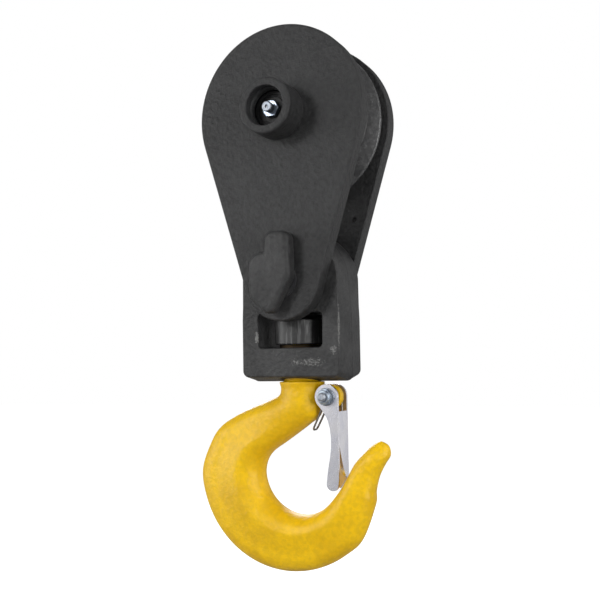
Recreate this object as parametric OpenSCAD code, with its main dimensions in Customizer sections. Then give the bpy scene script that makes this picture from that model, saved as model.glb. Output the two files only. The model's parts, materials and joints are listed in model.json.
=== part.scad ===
// Single sheave block with a swivel hook.
// Millimetres, +Z up. The origin is on the sheave's axis, midway between the two side plates.
// X runs across the block, Y along the sheave's axis with the front plate at -Y,
// and the hook hangs down along -Z.

/* [Side plates] */
// Radius of each plate's round top
plate_top_r = 80; // [79:0.5:100]
// Radius of each plate's round foot
plate_foot_r = 36; // [30:0.5:44]
// Thickness of each plate
plate_t = 16; // [12:0.5:20]
// Clear width between the two plates
plate_gap = 51.5; // [44:0.5:64]
// Distance from the sheave's axis down to the bolt's axis
bolt_drop = 150; // [140:1:185]
// Radius of the small tapped hole in the rear plate
tapped_hole_r = 2.5; // [1.5:0.5:4]
// Height of the tapped hole above the bolt's axis
tapped_hole_rise = 59; // [50:1:62]
// Distance of the tapped hole from the plate's centre line
tapped_hole_x = 44; // [30:1:46]

/* [Sheave] */
// Outside radius of the sheave
sheave_r = 76; // [66:0.5:78]
// Width across the sheave's rim
rim_w = 38; // [35:0.5:42]
// Radius of the rope groove's round bottom
groove_r = 11.5; // [8:0.5:12]
// Depth of the rope groove below the rim
groove_depth = 20; // [16:0.5:24]
// Slope of each groove flank from the radial direction, in degrees
groove_slope = 20; // [12:1:24]
// Thickness of metal under the groove
rim_wall = 9; // [6:0.5:10]
// Thickness of the sheave's web
web_t = 15; // [10:0.5:20]
// Outside radius of the sheave's hub
sheave_hub_r = 31; // [29:0.5:36]
// Wall of the bronze bush pressed in the hub
bush_wall = 5; // [3:0.5:6]
// Thickness of each thrust washer beside the hub
hub_washer_t = 3; // [2:0.5:4]

/* [Centre pin] */
// Radius of the centre pin
pin_r = 19; // [15.5:0.5:21]
// Radius of the pin's round head behind the rear plate
pin_head_r = 27; // [25:0.5:32]
// Thickness of the pin's head
pin_head_t = 8; // [5:0.5:12]
// Radius of the grease passage inside the pin
grease_bore_r = 3; // [2:0.5:4]
// Outside radius of the collar on the front plate
collar_r = 25; // [24:0.5:30]
// Height of the collar above the front plate
collar_h = 27; // [22:0.5:32]
// Step from the pin down to its thinner end inside the collar
collar_step = 1.4; // [0.4:0.2:4]
// Length of the pin's end inside the collar
collar_seat = 10; // [8:0.5:12]
// Radius of the set screw that locks the collar
set_screw_r = 3; // [2:0.5:3.5]

/* [Grease nipple] */
// Width across the flats of the nipple's hexagon
nipple_flats = 14; // [10:0.5:17]
// Height of the hexagon
nipple_hex_h = 5; // [3:0.5:6]
// Radius of the nipple's head
nipple_head_r = 4.8; // [3.5:0.1:5.5]
// Length of the nipple's nose in front of the hexagon
nipple_nose = 7.5; // [5:0.5:9]

/* [Handle bolt] */
// Radius of the bolt's shank
bolt_r = 12.5; // [10:0.5:15]
// Length of the shank that stands out behind the rear plate
bolt_tail = 6; // [4:0.5:12]
// Thickness of the cast handle
handle_t = 12.5; // [10:0.5:18]
// Height of the handle's long arm above the bolt's axis
handle_rise = 43.5; // [36:0.5:50]
// Reach of the handle's side lobe to the left
handle_reach = 25; // [22:0.5:30]
// Reach of the handle's short arm below the bolt's axis
handle_fall = 29.5; // [24:0.5:34]
// Thickness of the washer under the handle
bolt_washer_t = 2.5; // [2:0.5:4]

/* [Yoke] */
// Width of the yoke at its parting line
yoke_w = 100; // [92:1:110]
// Radius of the yoke's round crown about the bolt's axis
crown_r = 47.5; // [40:0.5:48]
// Distance below the bolt's axis where the yoke reaches its full width
shoulder_drop = 26; // [20:1:34]
// Distance from the bolt's axis down to the yoke's foot
foot_drop = 89; // [80:1:104]
// Width of the yoke's window
window_w = 63; // [56:1:68]
// Height of the yoke's window
window_h = 31; // [28:0.5:34]
// Height of the crossbar under the window
crossbar_h = 30; // [24:0.5:36]
// How far the yoke's foot is drawn up at its front and rear faces
foot_draft = 4; // [1:0.5:6]
// How far each side of the yoke is drawn in at its front and rear faces
side_draft = 2; // [0.5:0.5:4]
// Radius of the round corners of the window and the foot
corner_r = 5; // [3:0.5:8]

/* [Swivel] */
// Radius of the hook's shank in the crossbar
shank_r = 16; // [13:0.5:17.5]
// Radius of the threaded end of the shank
thread_r = 14; // [11:0.5:15]
// Outside radius of the round hook nut
nut_r = 24; // [20:0.5:25]
// Height of the hook nut
nut_h = 22.5; // [16:0.5:24]
// Thickness of the bronze thrust washer under the nut
thrust_t = 2.5; // [2:0.5:5]
// Radius of the pin that locks the nut on the shank
lock_pin_r = 2.5; // [2:0.5:4]

/* [Hook] */
// Radius of the hook's neck
neck_r = 19.3; // [18:0.1:22]
// Height of the hook's straight neck
neck_h = 11; // [8:0.5:16]
// Radius of the hook's bowl
bowl_r = 38; // [34:0.5:46]

/* [Latch] */
// Distance of the latch's pivot from the neck's surface
pivot_out = 9.2; // [8:0.2:12]
// Distance of the latch's pivot below the top of the neck
pivot_drop = 13.5; // [12:0.5:18]
// Radius of the latch's two ears, and of the lug between them
ear_r = 11; // [9:0.5:12]
// Width across the latch
latch_w = 23; // [20:0.5:26]
// Thickness of the latch's sheet
latch_t = 2.5; // [1.5:0.5:3]
// Thickness of the hook's lug between the springs
lug_t = 8; // [6:0.5:9]
// Radius of the latch's bolt
latch_bolt_r = 4; // [3:0.5:5]
// Radius of the latch spring's wire
wire_r = 0.9; // [0.6:0.1:1]

/* [Clearances] */
// Radial clearance of a running fit, such as the sheave's bush on its pin
run_clear = 0.08; // [0.03:0.01:0.1]
// Gap on each side of the sheave's hub, and under the hook nut
end_play = 0.35; // [0.2:0.05:0.6]
// Gap between the yoke and each side plate
yoke_play = 0.75; // [0.4:0.05:1.2]
// Gap between the yoke's foot and the top of the hook's neck
neck_gap = 0.6; // [0.3:0.1:1.5]
// Gap between loose curved faces
loose_clear = 0.4; // [0.3:0.05:0.8]

/* [Hidden] */

// Sides of a round face, and of a round in a hull
$fn = 96;
hull_fn = 32;
// How far a cutting body runs past the face it cuts
over = 1;
// How far a flat face stays inside a round that it touches
seam = 0.02;

// Colours
plate_grey = [0.25, 0.25, 0.26];
hook_yellow = [0.93, 0.75, 0.05];
zinc = [0.78, 0.79, 0.83];
bronze = [0.72, 0.52, 0.28];
steel = [0.55, 0.56, 0.58];

// Places along the sheave's axis
inner_y = plate_gap / 2;
outer_y = inner_y + plate_t;
hub_half = inner_y - hub_washer_t - end_play;
pin_tip_y = outer_y + collar_seat;
handle_y = outer_y + bolt_washer_t;
yoke_half = inner_y - yoke_play;

// Heights
bolt_z = -bolt_drop;
foot_z = bolt_z - foot_drop;
floor_z = foot_z + crossbar_h;
window_top_z = floor_z + window_h;
nut_z = floor_z + thrust_t + end_play;
neck_top_z = foot_z - neck_gap;

// Turns an outline in X and Z into a plate between two places along Y.
module slab(y0, y1) {
    translate([0, y1, 0]) rotate([90, 0, 0]) linear_extrude(y1 - y0) children();
}

// A round bar along Y between two places.
module bar_y(r, y0, y1) {
    translate([0, y0, 0]) rotate([-90, 0, 0]) cylinder(r = r, h = y1 - y0);
}

// A round bar along Y with a bevel on each end.
module bevelled_bar_y(r, y0, y1, bevel) {
    turned_y([
        [0, y0], [r - bevel, y0], [r, y0 + bevel],
        [r, y1 - bevel], [r - bevel, y1], [0, y1]
    ]);
}

// Spins an outline of radius and place along Y about the Y axis.
module turned_y(points) {
    rotate([-90, 0, 0]) rotate_extrude() polygon(points);
}

// A flat ring about the Y axis.
module ring_y(r_in, r_out, y0, y1) {
    turned_y([[r_in, y0], [r_out, y0], [r_out, y1], [r_in, y1]]);
}

// ---------------------------------------------------------------- Side plates

// The straight sides touch both rounds, so their normal leans down by this angle.
side_lean = asin((plate_top_r - plate_foot_r) / bolt_drop);

module plate_body(y0, y1) {
    side = [cos(side_lean), -sin(side_lean)];
    top_x = (plate_top_r - seam) * side[0];
    top_z = (plate_top_r - seam) * side[1];
    foot_x = (plate_foot_r - seam) * side[0];
    foot_side_z = bolt_z + (plate_foot_r - seam) * side[1];
    bar_y(plate_top_r, y0, y1);
    translate([0, 0, bolt_z]) bar_y(plate_foot_r, y0, y1);
    slab(y0, y1) polygon([
        [-top_x, top_z], [top_x, top_z], [foot_x, foot_side_z], [-foot_x, foot_side_z]
    ]);
}

module side_plate(y0, y1, pin_hole_r) {
    difference() {
        plate_body(y0, y1);
        bar_y(pin_hole_r, y0 - over, y1 + over);
        translate([0, 0, bolt_z]) bar_y(bolt_r + run_clear, y0 - over, y1 + over);
    }
}

module front_side_plate() {
    color(plate_grey) side_plate(-outer_y, -inner_y, pin_r + run_clear);
}

module rear_side_plate() {
    color(plate_grey) difference() {
        side_plate(inner_y, outer_y, pin_r);
        translate([tapped_hole_x, 0, bolt_z + tapped_hole_rise])
            bar_y(tapped_hole_r, inner_y - over, outer_y + over);
    }
}

// ----------------------------------------------------------------- Centre pin

// The collar fits the pin's thinner end.
collar_bore_r = pin_r - collar_step;
pin_bevel = 1.5;
stem_r = 4.5;
stem_len = 7;
set_screw_len = 10;
set_screw_turn = -45;
set_screw_seat = 1.5;
set_screw_y = -outer_y - collar_seat / 2;

module grease_ways() {
    bar_y(grease_bore_r, -pin_tip_y - over, grease_bore_r);
    bar_y(stem_r, -pin_tip_y - over, -pin_tip_y + stem_len);
    cylinder(r = grease_bore_r, h = pin_r + over);
}

module centre_pin() {
    color(steel) difference() {
        union() {
            bar_y(pin_r, -outer_y, outer_y);
            bar_y(collar_bore_r, -pin_tip_y, -outer_y);
            bevelled_bar_y(pin_head_r, outer_y, outer_y + pin_head_t, pin_bevel);
        }
        grease_ways();
        set_screw_hole();
    }
}

// The set screw lies across the collar, on its upper left.
module at_set_screw() {
    translate([0, set_screw_y, 0]) rotate([0, set_screw_turn, 0]) children();
}

module set_screw_hole() {
    at_set_screw() translate([0, 0, collar_bore_r - set_screw_seat])
        cylinder(r = set_screw_r, h = collar_r + over);
}

module hub_collar() {
    edge = 2;
    color(plate_grey) difference() {
        turned_y([
            [collar_bore_r, -outer_y], [collar_r, -outer_y],
            [collar_r, -outer_y - collar_h + edge], [collar_r - edge, -outer_y - collar_h],
            [collar_bore_r, -outer_y - collar_h]
        ]);
        set_screw_hole();
    }
}

module collar_set_screw() {
    socket_r = 1.7;
    socket_depth = 3;
    len = min(set_screw_len, collar_r - collar_bore_r + set_screw_seat - over);
    color(steel) at_set_screw() translate([0, 0, collar_bore_r - set_screw_seat])
        difference() {
            cylinder(r = set_screw_r, h = len);
            translate([0, 0, len - socket_depth])
                cylinder(r = socket_r, h = socket_depth + over, $fn = 6);
        }
}

// -------------------------------------------------------------- Grease nipple

ball_r = 1.5;
nipple_bore_r = 1.6;
nipple_front_y = -pin_tip_y - nipple_hex_h;
nipple_tip_y = nipple_front_y - nipple_nose;

module grease_nipple() {
    neck_r = 3.2;
    mouth_r = 1.3;
    flare = 1.6;
    hex_r = nipple_flats / 2 / cos(30);
    head_h = 3.6;
    head_y = nipple_tip_y + head_h;
    color(zinc) difference() {
        union() {
            turned_y([
                [0, -pin_tip_y + stem_len], [stem_r, -pin_tip_y + stem_len],
                [stem_r, nipple_front_y], [neck_r + flare, nipple_front_y],
                [neck_r, head_y + flare], [neck_r, head_y],
                [nipple_head_r, head_y - head_h / 3],
                [nipple_head_r, nipple_tip_y + head_h / 3],
                [neck_r, nipple_tip_y], [0, nipple_tip_y]
            ]);
            translate([0, nipple_front_y, 0]) rotate([-90, 0, 0])
                cylinder(r = hex_r, h = nipple_hex_h, $fn = 6);
        }
        bar_y(mouth_r, nipple_tip_y - over, nipple_tip_y + ball_r);
        bar_y(nipple_bore_r, nipple_tip_y + ball_r, -pin_tip_y + stem_len + over);
    }
}

module nipple_ball() {
    color(steel) translate([0, nipple_tip_y + ball_r * 2, 0]) sphere(r = ball_r);
}

// --------------------------------------------------------------------- Sheave

module hub_washer(y0) {
    color(bronze) ring_y(pin_r + loose_clear, sheave_hub_r - over, y0, y0 + hub_washer_t);
}

module front_hub_washer() {
    hub_washer(-inner_y);
}

module rear_hub_washer() {
    hub_washer(inner_y - hub_washer_t);
}

// The groove's round bottom is centred here, and its flanks leave it at a tangent.
groove_centre = sheave_r - groove_depth + groove_r;
flank_r = groove_centre - groove_r * sin(groove_slope);
flank_half = groove_r * cos(groove_slope);
mouth_half = flank_half + (sheave_r - flank_r) * tan(groove_slope);
rim_in_r = sheave_r - groove_depth - rim_wall;

module sheave_section() {
    lip = 1;
    web_half = web_t / 2;
    rim_half = rim_w / 2;
    fillet = 5;
    bore_r = pin_r + run_clear + bush_wall;
    difference() {
        polygon([
            [bore_r, -hub_half], [sheave_hub_r, -hub_half],
            [sheave_hub_r + fillet, -web_half], [rim_in_r, -web_half],
            [rim_in_r + fillet, -rim_half + fillet], [sheave_r - groove_depth, -rim_half],
            [sheave_r - lip, -rim_half], [sheave_r, -rim_half + lip],
            [sheave_r, rim_half - lip], [sheave_r - lip, rim_half],
            [sheave_r - groove_depth, rim_half], [rim_in_r + fillet, rim_half - fillet],
            [rim_in_r, web_half], [sheave_hub_r + fillet, web_half],
            [sheave_hub_r, hub_half], [bore_r, hub_half]
        ]);
        translate([groove_centre, 0]) circle(r = groove_r);
        polygon([
            [flank_r, -flank_half], [sheave_r + lip, -mouth_half - lip * tan(groove_slope)],
            [sheave_r + lip, mouth_half + lip * tan(groove_slope)], [flank_r, flank_half]
        ]);
    }
}

module sheave() {
    color(plate_grey) rotate([-90, 0, 0]) rotate_extrude() sheave_section();
}

module sheave_bush() {
    bush_in_r = pin_r + run_clear;
    color(bronze) ring_y(bush_in_r, bush_in_r + bush_wall, -hub_half, hub_half);
}

// ---------------------------------------------------------------- Handle bolt

ring_w = 2.4;
ring_h = 1.4;
ring_y0 = outer_y - plate_t / 2;
bolt_end_y = outer_y + bolt_tail;
washer_lap = 3.5;

module bolt_washer() {
    color(steel) translate([0, 0, bolt_z])
        ring_y(bolt_r + loose_clear, bolt_r + washer_lap, -handle_y, -outer_y);
}

// One rounded lobe of the handle: radius and place from the bolt's axis.
module lobe(r, x, z) {
    edge = 3;
    translate([x, 0, z]) {
        translate([0, -handle_y - handle_t + edge, 0]) rotate([-90, 0, 0])
            cylinder(r = r, h = handle_t - edge, $fn = hull_fn);
        translate([0, -handle_y - handle_t, 0]) rotate([-90, 0, 0])
            cylinder(r = r - edge, h = handle_t, $fn = hull_fn);
    }
}

module handle() {
    arm_r = 8;
    body_r = 13.3;
    side_r = 12;
    short_r = 7;
    arm_x = [-1, 7];
    arm_z = handle_rise - arm_r - 1;
    body = [2.5, 5];
    side_x = side_r - handle_reach;
    side_z = [12, -9];
    short_x = -6;
    hull() {
        lobe(arm_r, arm_x[0], arm_z);
        lobe(arm_r, arm_x[1], arm_z);
        lobe(body_r, body[0], body[1]);
    }
    hull() {
        lobe(body_r, body[0], body[1]);
        lobe(side_r, side_x, side_z[0]);
        lobe(side_r, side_x, side_z[1]);
        lobe(short_r, short_x, short_r - handle_fall);
    }
}

module handle_bolt() {
    bevel = 2;
    color(plate_grey) translate([0, 0, bolt_z]) difference() {
        union() {
            bevelled_bar_y(bolt_r, -handle_y - handle_t / 2, bolt_end_y, bevel);
            handle();
        }
        ring_y(bolt_r - ring_h, bolt_r + over, ring_y0, ring_y0 + ring_w);
    }
}

module bolt_spring_ring() {
    side_gap = 0.1;
    color(steel) translate([0, 0, bolt_z])
        ring_y(bolt_r - ring_h, bolt_r, ring_y0 + side_gap, ring_y0 + ring_w - side_gap);
}

// ----------------------------------------------------------------------- Yoke

module rounded_rect(x0, z0, x1, z1, r) {
    translate([x0 + r, z0]) square([x1 - x0 - 2 * r, z1 - z0]);
    translate([x0, z0 + r]) square([x1 - x0, z1 - z0 - 2 * r]);
    for (x = [x0 + r, x1 - r], z = [z0 + r, z1 - r])
        translate([x, z]) circle(r = r);
}

module yoke_outline() {
    half = yoke_w / 2;
    shoulder_z = bolt_z - shoulder_drop;
    translate([0, bolt_z]) circle(r = crown_r);
    polygon([
        [-crown_r, bolt_z], [-half, shoulder_z], [-half, foot_z + corner_r],
        [half, foot_z + corner_r], [half, shoulder_z], [crown_r, bolt_z]
    ]);
    rounded_rect(-half, foot_z, half, shoulder_z, corner_r);
}

// Every point of the yoke lies inside this block, which is widest and lowest at its middle.
module yoke_draft() {
    half = yoke_w / 2;
    top_z = bolt_z + crown_r + over;
    intersection() {
        translate([-half - over, 0, 0]) rotate([90, 0, 90]) linear_extrude(yoke_w + 2 * over)
            polygon([
                [-yoke_half, top_z], [-yoke_half, foot_z + foot_draft], [0, foot_z],
                [yoke_half, foot_z + foot_draft], [yoke_half, top_z]
            ]);
        translate([0, 0, foot_z - over]) linear_extrude(top_z - foot_z + over)
            polygon([
                [side_draft - half, -yoke_half], [half - side_draft, -yoke_half], [half, 0],
                [half - side_draft, yoke_half], [side_draft - half, yoke_half], [-half, 0]
            ]);
    }
}

module yoke() {
    color(plate_grey) difference() {
        intersection() {
            slab(-yoke_half, yoke_half) yoke_outline();
            yoke_draft();
        }
        slab(-yoke_half - over, yoke_half + over)
            rounded_rect(-window_w / 2, floor_z, window_w / 2, window_top_z, corner_r);
        translate([0, 0, bolt_z]) bar_y(bolt_r + run_clear, -yoke_half - over, yoke_half + over);
        translate([0, 0, foot_z - over])
            cylinder(r = shank_r + run_clear, h = crossbar_h + 2 * over);
    }
}

module thrust_washer() {
    lap = 4;
    color(bronze) translate([0, 0, floor_z]) difference() {
        cylinder(r = nut_r - lap, h = thrust_t);
        translate([0, 0, -over]) cylinder(r = shank_r + loose_clear, h = thrust_t + 2 * over);
    }
}

// ----------------------------------------------------------------------- Hook

// The bowl's centre hangs this many bowl radii below the end of the neck.
bowl_drop = 1.87;
bowl_z = neck_top_z - neck_h - bowl_drop * bowl_r;

// Centre and radius of the hook's round bottom, in bowl radii from the bowl's centre.
back_x = -0.465;
back_z = 0.019;
back_r = 2.292;

// Each station of the hook has the inner edge's x and z, the outer edge's x and z,
// half the thickness, and how much thinner the outer edge is than the inner one.
// All are in bowl radii from the bowl's centre.
shoulder_stations = [
    [0.45, 1.39, -0.54, 1.85, 0.5, 0],
    [0.15, 1.14, -0.85, 1.70, 0.5, 0.05],
    [-0.18, 0.91, -1.33, 1.52, 0.5, 0.15],
    [-0.51, 0.69, -1.79, 1.32, 0.5, 0.25],
    [-0.82, 0.49, -2.20, 1.07, 0.51, 0.3],
    [-1.00, 0.27, -2.48, 0.71, 0.51, 0.35]
];
tip_stations = [
    [0.97, -0.38, 1.79, -0.67, 0.40, 0.2],
    [1.17, -0.06, 1.81, -0.38, 0.36, 0.15],
    [1.36, 0.26, 1.90, -0.03, 0.32, 0.1],
    [1.59, 0.50, 2.06, 0.27, 0.27, 0],
    [1.75, 0.65, 2.18, 0.44, 0.2, 0],
    [1.91, 0.75, 2.19, 0.60, 0.08, 0]
];

// Distance from the bowl's centre to the round back along a direction.
function back_reach(a) =
    let(
        across = back_x * cos(a) + back_z * sin(a),
        off = back_x * back_x + back_z * back_z - back_r * back_r
    )
    across + sqrt(across * across - off);

// The bowl: the inner edge is round and a little wider at its back, and the outer edge is
// the hook's round bottom, which swells a little towards the tip.
bowl_wide = 1.07;
bowl_close = 0.98;
back_swell = 0.15;
bowl_half = 0.51;
bowl_half_loss = 0.09;
bowl_thin = 0.36;
bowl_thin_loss = 0.14;
bowl_start = 180;
bowl_bottom = 270;
bowl_end = 315;
bowl_step = 15;
bowl_stations = [
    for (a = [bowl_start:bowl_step:bowl_end])
        let(
            along = (a - bowl_start) / (bowl_end - bowl_start),
            reach = back_reach(a) + back_swell * along * along,
            wide = a > bowl_bottom ? bowl_close : bowl_wide,
            half = bowl_half - bowl_half_loss * along * along,
            thin = bowl_thin - bowl_thin_loss * along
        )
        [wide * cos(a), sin(a), reach * cos(a), reach * sin(a), half, thin]
];

function placed(s) = [
    s[0] * bowl_r, s[1] * bowl_r + bowl_z,
    s[2] * bowl_r, s[3] * bowl_r + bowl_z,
    s[4] * bowl_r, s[5]
];

neck_stations = [
    [neck_r, neck_top_z, -neck_r, neck_top_z, neck_r, 0],
    [neck_r, neck_top_z - neck_h, -neck_r, neck_top_z - neck_h / 2, neck_r, 0]
];

hook_stations = concat(
    neck_stations,
    [for (s = shoulder_stations) placed(s)],
    [for (s = bowl_stations) placed(s)],
    [for (s = tip_stations) placed(s)]
);

// A smooth curve through four neighbouring stations.
function between(a, b, c, d, t) =
    0.5 * (2 * b + (c - a) * t + (2 * a - 5 * b + 4 * c - d) * t * t
        + (3 * b - a - 3 * c + d) * t * t * t);

hook_steps = 2;
hook_sides = 20;
hook_last = len(hook_stations) - 1;
hook_rings = concat(
    [
        for (i = [0:hook_last - 1], k = [0:hook_steps - 1])
            between(
                hook_stations[max(i - 1, 0)], hook_stations[i],
                hook_stations[i + 1], hook_stations[min(i + 2, hook_last)], k / hook_steps
            )
    ],
    [hook_stations[hook_last]]
);

// One ring of points round a station.
function hook_ring(s) = [
    for (k = [0:hook_sides - 1])
        let(
            a = 360 * k / hook_sides,
            u = cos(a),
            side = 1 - s[5] * (1 - u) / 2
        )
        [
            (s[0] + s[2]) / 2 + (s[0] - s[2]) / 2 * u,
            s[4] * side * sin(a),
            (s[1] + s[3]) / 2 + (s[1] - s[3]) / 2 * u
        ]
];

// Closed skin over a row of rings with the same number of points.
module skin(rings, sides) {
    count = len(rings);
    points = [for (ring = rings, p = ring) p];
    walls = [
        for (i = [0:count - 2], k = [0:sides - 1])
            let(n = (k + 1) % sides)
            each [
                [i * sides + k, i * sides + n, (i + 1) * sides + n],
                [i * sides + k, (i + 1) * sides + n, (i + 1) * sides + k]
            ]
    ];
    first = [for (k = [sides - 1:-1:0]) k];
    last = [for (k = [0:sides - 1]) (count - 1) * sides + k];
    polyhedron(points = points, faces = concat([first], walls, [last]));
}

pivot_x = neck_r + pivot_out;
pivot_z = neck_top_z - pivot_drop;

module at_pivot() {
    translate([pivot_x, 0, pivot_z]) children();
}

module hook() {
    neck_lap = 4;
    color(hook_yellow) difference() {
        union() {
            skin([for (s = hook_rings) hook_ring(s)], hook_sides);
            translate([0, 0, neck_top_z - neck_lap])
                cylinder(r = shank_r, h = nut_z - neck_top_z + neck_lap);
            translate([0, 0, nut_z]) cylinder(r = thread_r, h = nut_h);
            at_pivot() {
                bar_y(ear_r, -lug_t / 2, lug_t / 2);
                translate([-pivot_x, -lug_t / 2, -ear_r]) cube([pivot_x, lug_t, 2 * ear_r]);
            }
        }
        at_pivot() bar_y(latch_bolt_r, -lug_t, lug_t);
        lock_pin_hole();
    }
}

// ------------------------------------------------------------------- Hook nut

lock_pin_z = nut_z + nut_h / 2;

module lock_pin_hole() {
    translate([-nut_r - over, 0, lock_pin_z]) rotate([0, 90, 0])
        cylinder(r = lock_pin_r, h = 2 * (nut_r + over));
}

module hook_nut() {
    edge = 1.2;
    color(plate_grey) difference() {
        translate([0, 0, nut_z]) rotate_extrude() polygon([
            [thread_r, 0], [nut_r - edge, 0], [nut_r, edge],
            [nut_r, nut_h - edge], [nut_r - edge, nut_h], [thread_r, nut_h]
        ]);
        lock_pin_hole();
    }
}

module nut_lock_pin() {
    sunk = 1;
    color(steel) translate([sunk - nut_r, 0, lock_pin_z]) rotate([0, 90, 0])
        cylinder(r = lock_pin_r, h = 2 * (nut_r - sunk));
}

// ---------------------------------------------------------------------- Latch

ear_in = latch_w / 2 - latch_t;
ear_out = latch_w / 2;
latch_washer_t = 1.2;
latch_nut_h = 7;
latch_head_h = 5;
latch_flats = 13;
nut_corner_r = latch_flats / 2 / cos(30);
bolt_stub = 3;
washer_face = ear_out + latch_washer_t;

// The latch closes on the inside of the hook's tip, so its length and lean follow the bowl.
foot_r = 6;
tip_gap = 1;
close_x = 1.08 * bowl_r - tip_gap;
close_z = bowl_z - 0.21 * bowl_r;
reach_x = close_x - pivot_x;
reach_z = pivot_z - close_z;
reach = norm([reach_x, reach_z]);
latch_lean = atan2(reach_x, reach_z) - asin(ear_r / reach);
arm_len = sqrt(reach * reach - ear_r * ear_r);

// The latch before it is hollowed: round ears, a waist and a straight back to a round foot.
module latch_body() {
    waist_x = 4;
    waist = [0.29, 0.42, 0.57, 0.75] * arm_len;
    ear_side = 0.8 * ear_r;
    foot_x = ear_r - foot_r;
    rear_x = ear_r - seam;
    bar_y(ear_r, -ear_out, ear_out);
    slab(-ear_out, ear_out) polygon([
        [rear_x, 0], [rear_x, -arm_len], [foot_x, -arm_len - foot_r / 2],
        [foot_x - foot_r + seam, -arm_len], [waist_x / 2, -waist[3]],
        [waist_x, -waist[2]], [waist_x, -waist[1]],
        [waist_x / 2, -waist[0]], [-ear_r / 2, -ear_side], [0, 0]
    ]);
    translate([foot_x, 0, -arm_len]) bar_y(foot_r, -ear_out, ear_out);
}

// What is cut away inside the latch, so that its back and two sides stay.
module latch_hollow() {
    translate([-ear_r - over, -arm_len - foot_r - over])
        square([2 * ear_r - latch_t + over, arm_len + foot_r + ear_r + 2 * over]);
}

// The back ends above the foot on a slope, and starts below the ears.
// Three cuts: the back's straight top, the back's curved slope, and the rear side's foot,
// which is cut off slantwise.
module latch_back_cuts() {
    back_top = 13;
    slope_front = 33;
    slope_fall = 29;
    slope_steps = 8;
    rear_foot_top = 7;
    rear_foot_x = 2;
    translate([ear_r - latch_t - over, -ear_in, -back_top])
        cube([latch_t + 2 * over, 2 * ear_in, back_top + ear_r + over]);
    translate([ear_r - latch_t - over, 0, 0]) rotate([90, 0, 90])
        linear_extrude(latch_t + 2 * over) polygon([
            for (k = [0:slope_steps]) [
                ear_in * (2 * k / slope_steps - 1),
                -arm_len + slope_front - slope_fall * sin(90 * k / slope_steps)
            ],
            [ear_in, -arm_len - foot_r - over], [-ear_in, -arm_len - foot_r - over]
        ]);
    slab(ear_in - over, ear_out + over) polygon([
        [ear_r + over, -arm_len + rear_foot_top], [rear_foot_x, -arm_len - foot_r - over],
        [ear_r + over, -arm_len - foot_r - over]
    ]);
}

module latch() {
    color(zinc) at_pivot() difference() {
        rotate([0, -latch_lean, 0]) difference() {
            latch_body();
            slab(-ear_in, ear_in) latch_hollow();
            latch_back_cuts();
        }
        bar_y(latch_bolt_r + run_clear, -ear_out - over, ear_out + over);
    }
}

module latch_bolt() {
    color(zinc) at_pivot() {
        bar_y(latch_bolt_r, -washer_face - latch_nut_h - bolt_stub, washer_face);
        translate([0, washer_face, 0]) rotate([-90, 0, 0])
            cylinder(r = nut_corner_r, h = latch_head_h, $fn = 6);
    }
}

module latch_washers() {
    washer_r = 8;
    color(zinc) at_pivot() {
        ring_y(latch_bolt_r, washer_r, -washer_face, -ear_out - run_clear);
        ring_y(latch_bolt_r, washer_r, ear_out + run_clear, washer_face);
    }
}

module latch_nut() {
    dome_r = 6;
    dome_bevel = 0.8;
    hex_h = 4.5;
    color(zinc) at_pivot() difference() {
        union() {
            translate([0, -washer_face - hex_h, 0]) rotate([-90, 0, 0])
                cylinder(r = nut_corner_r, h = hex_h, $fn = 6);
            bevelled_bar_y(dome_r, -washer_face - latch_nut_h, -washer_face, dome_bevel);
        }
        bar_y(latch_bolt_r, -washer_face - latch_nut_h - over, -washer_face + over);
    }
}

// --------------------------------------------------------------- Latch spring

// One bent wire: a leg inside the latch's back, a coil beside the lug, a loop that
// passes under the hook's neck, and the same again on the other side.
coil_clear = 0.1;
coil_r = latch_bolt_r + 2.5;
coil_in_y = lug_t / 2 + wire_r + coil_clear;
coil_out_y = ear_in - wire_r - coil_clear;
// Degrees of wire in each coil, and between two of its points
coil_turn = 521;
coil_step = 22.65;
wire_sides = 8;

coil_points = [
    for (a = [0:coil_step:coil_turn])
        [
            coil_r * cos(a),
            coil_out_y - (coil_out_y - coil_in_y) * a / coil_turn,
            coil_r * sin(a)
        ]
];

// The leg lies this far off the latch's back, and each of its points this far down.
leg_clear = 0.3;
leg_x = ear_r - latch_t - wire_r - leg_clear;
leg_z = [-30, -20, -8];
leg_points = [
    [leg_x, coil_out_y, leg_z[0]], [leg_x, coil_out_y, leg_z[1]],
    [coil_r + leg_clear, coil_out_y, leg_z[2]]
];

// The loop follows the inner edge of the hook's shoulder, which is looked up by height.
edge_table = [for (i = [1:4]) [hook_stations[i][1], hook_stations[i][0]]];
function edge_x(z) = lookup(pivot_z + z, edge_table) - pivot_x;

// Each row of the loop: its distance from that edge, how far it is bent in, and its height.
loop_rows = [[3.1, 0, -13], [5, 0, -20], [11.9, 0.5, -28], [14, 2, -29.6]];
loop_points = [for (p = loop_rows) [edge_x(p[2]) + p[0], coil_in_y - p[1], p[2]]];

half_wire = concat(leg_points, coil_points, loop_points);
wire_path = concat(
    half_wire,
    [for (i = [len(half_wire) - 1:-1:0]) [half_wire[i][0], -half_wire[i][1], half_wire[i][2]]]
);

function unit(v) = v / norm(v);

// A ring of points round the wire, square to the path.
function wire_ring(path, i) =
    let(
        ahead = unit(path[min(i + 1, len(path) - 1)] - path[max(i - 1, 0)]),
        side = unit(cross(ahead, [0.3, 0.2, 1])),
        up = cross(side, ahead)
    )
    [
        for (k = [0:wire_sides - 1])
            let(a = 360 * k / wire_sides)
            path[i] + wire_r * (cos(a) * side + sin(a) * up)
    ];

module latch_spring() {
    color(steel) at_pivot()
        skin([for (i = [0:len(wire_path) - 1]) wire_ring(wire_path, i)], wire_sides);
}

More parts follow.
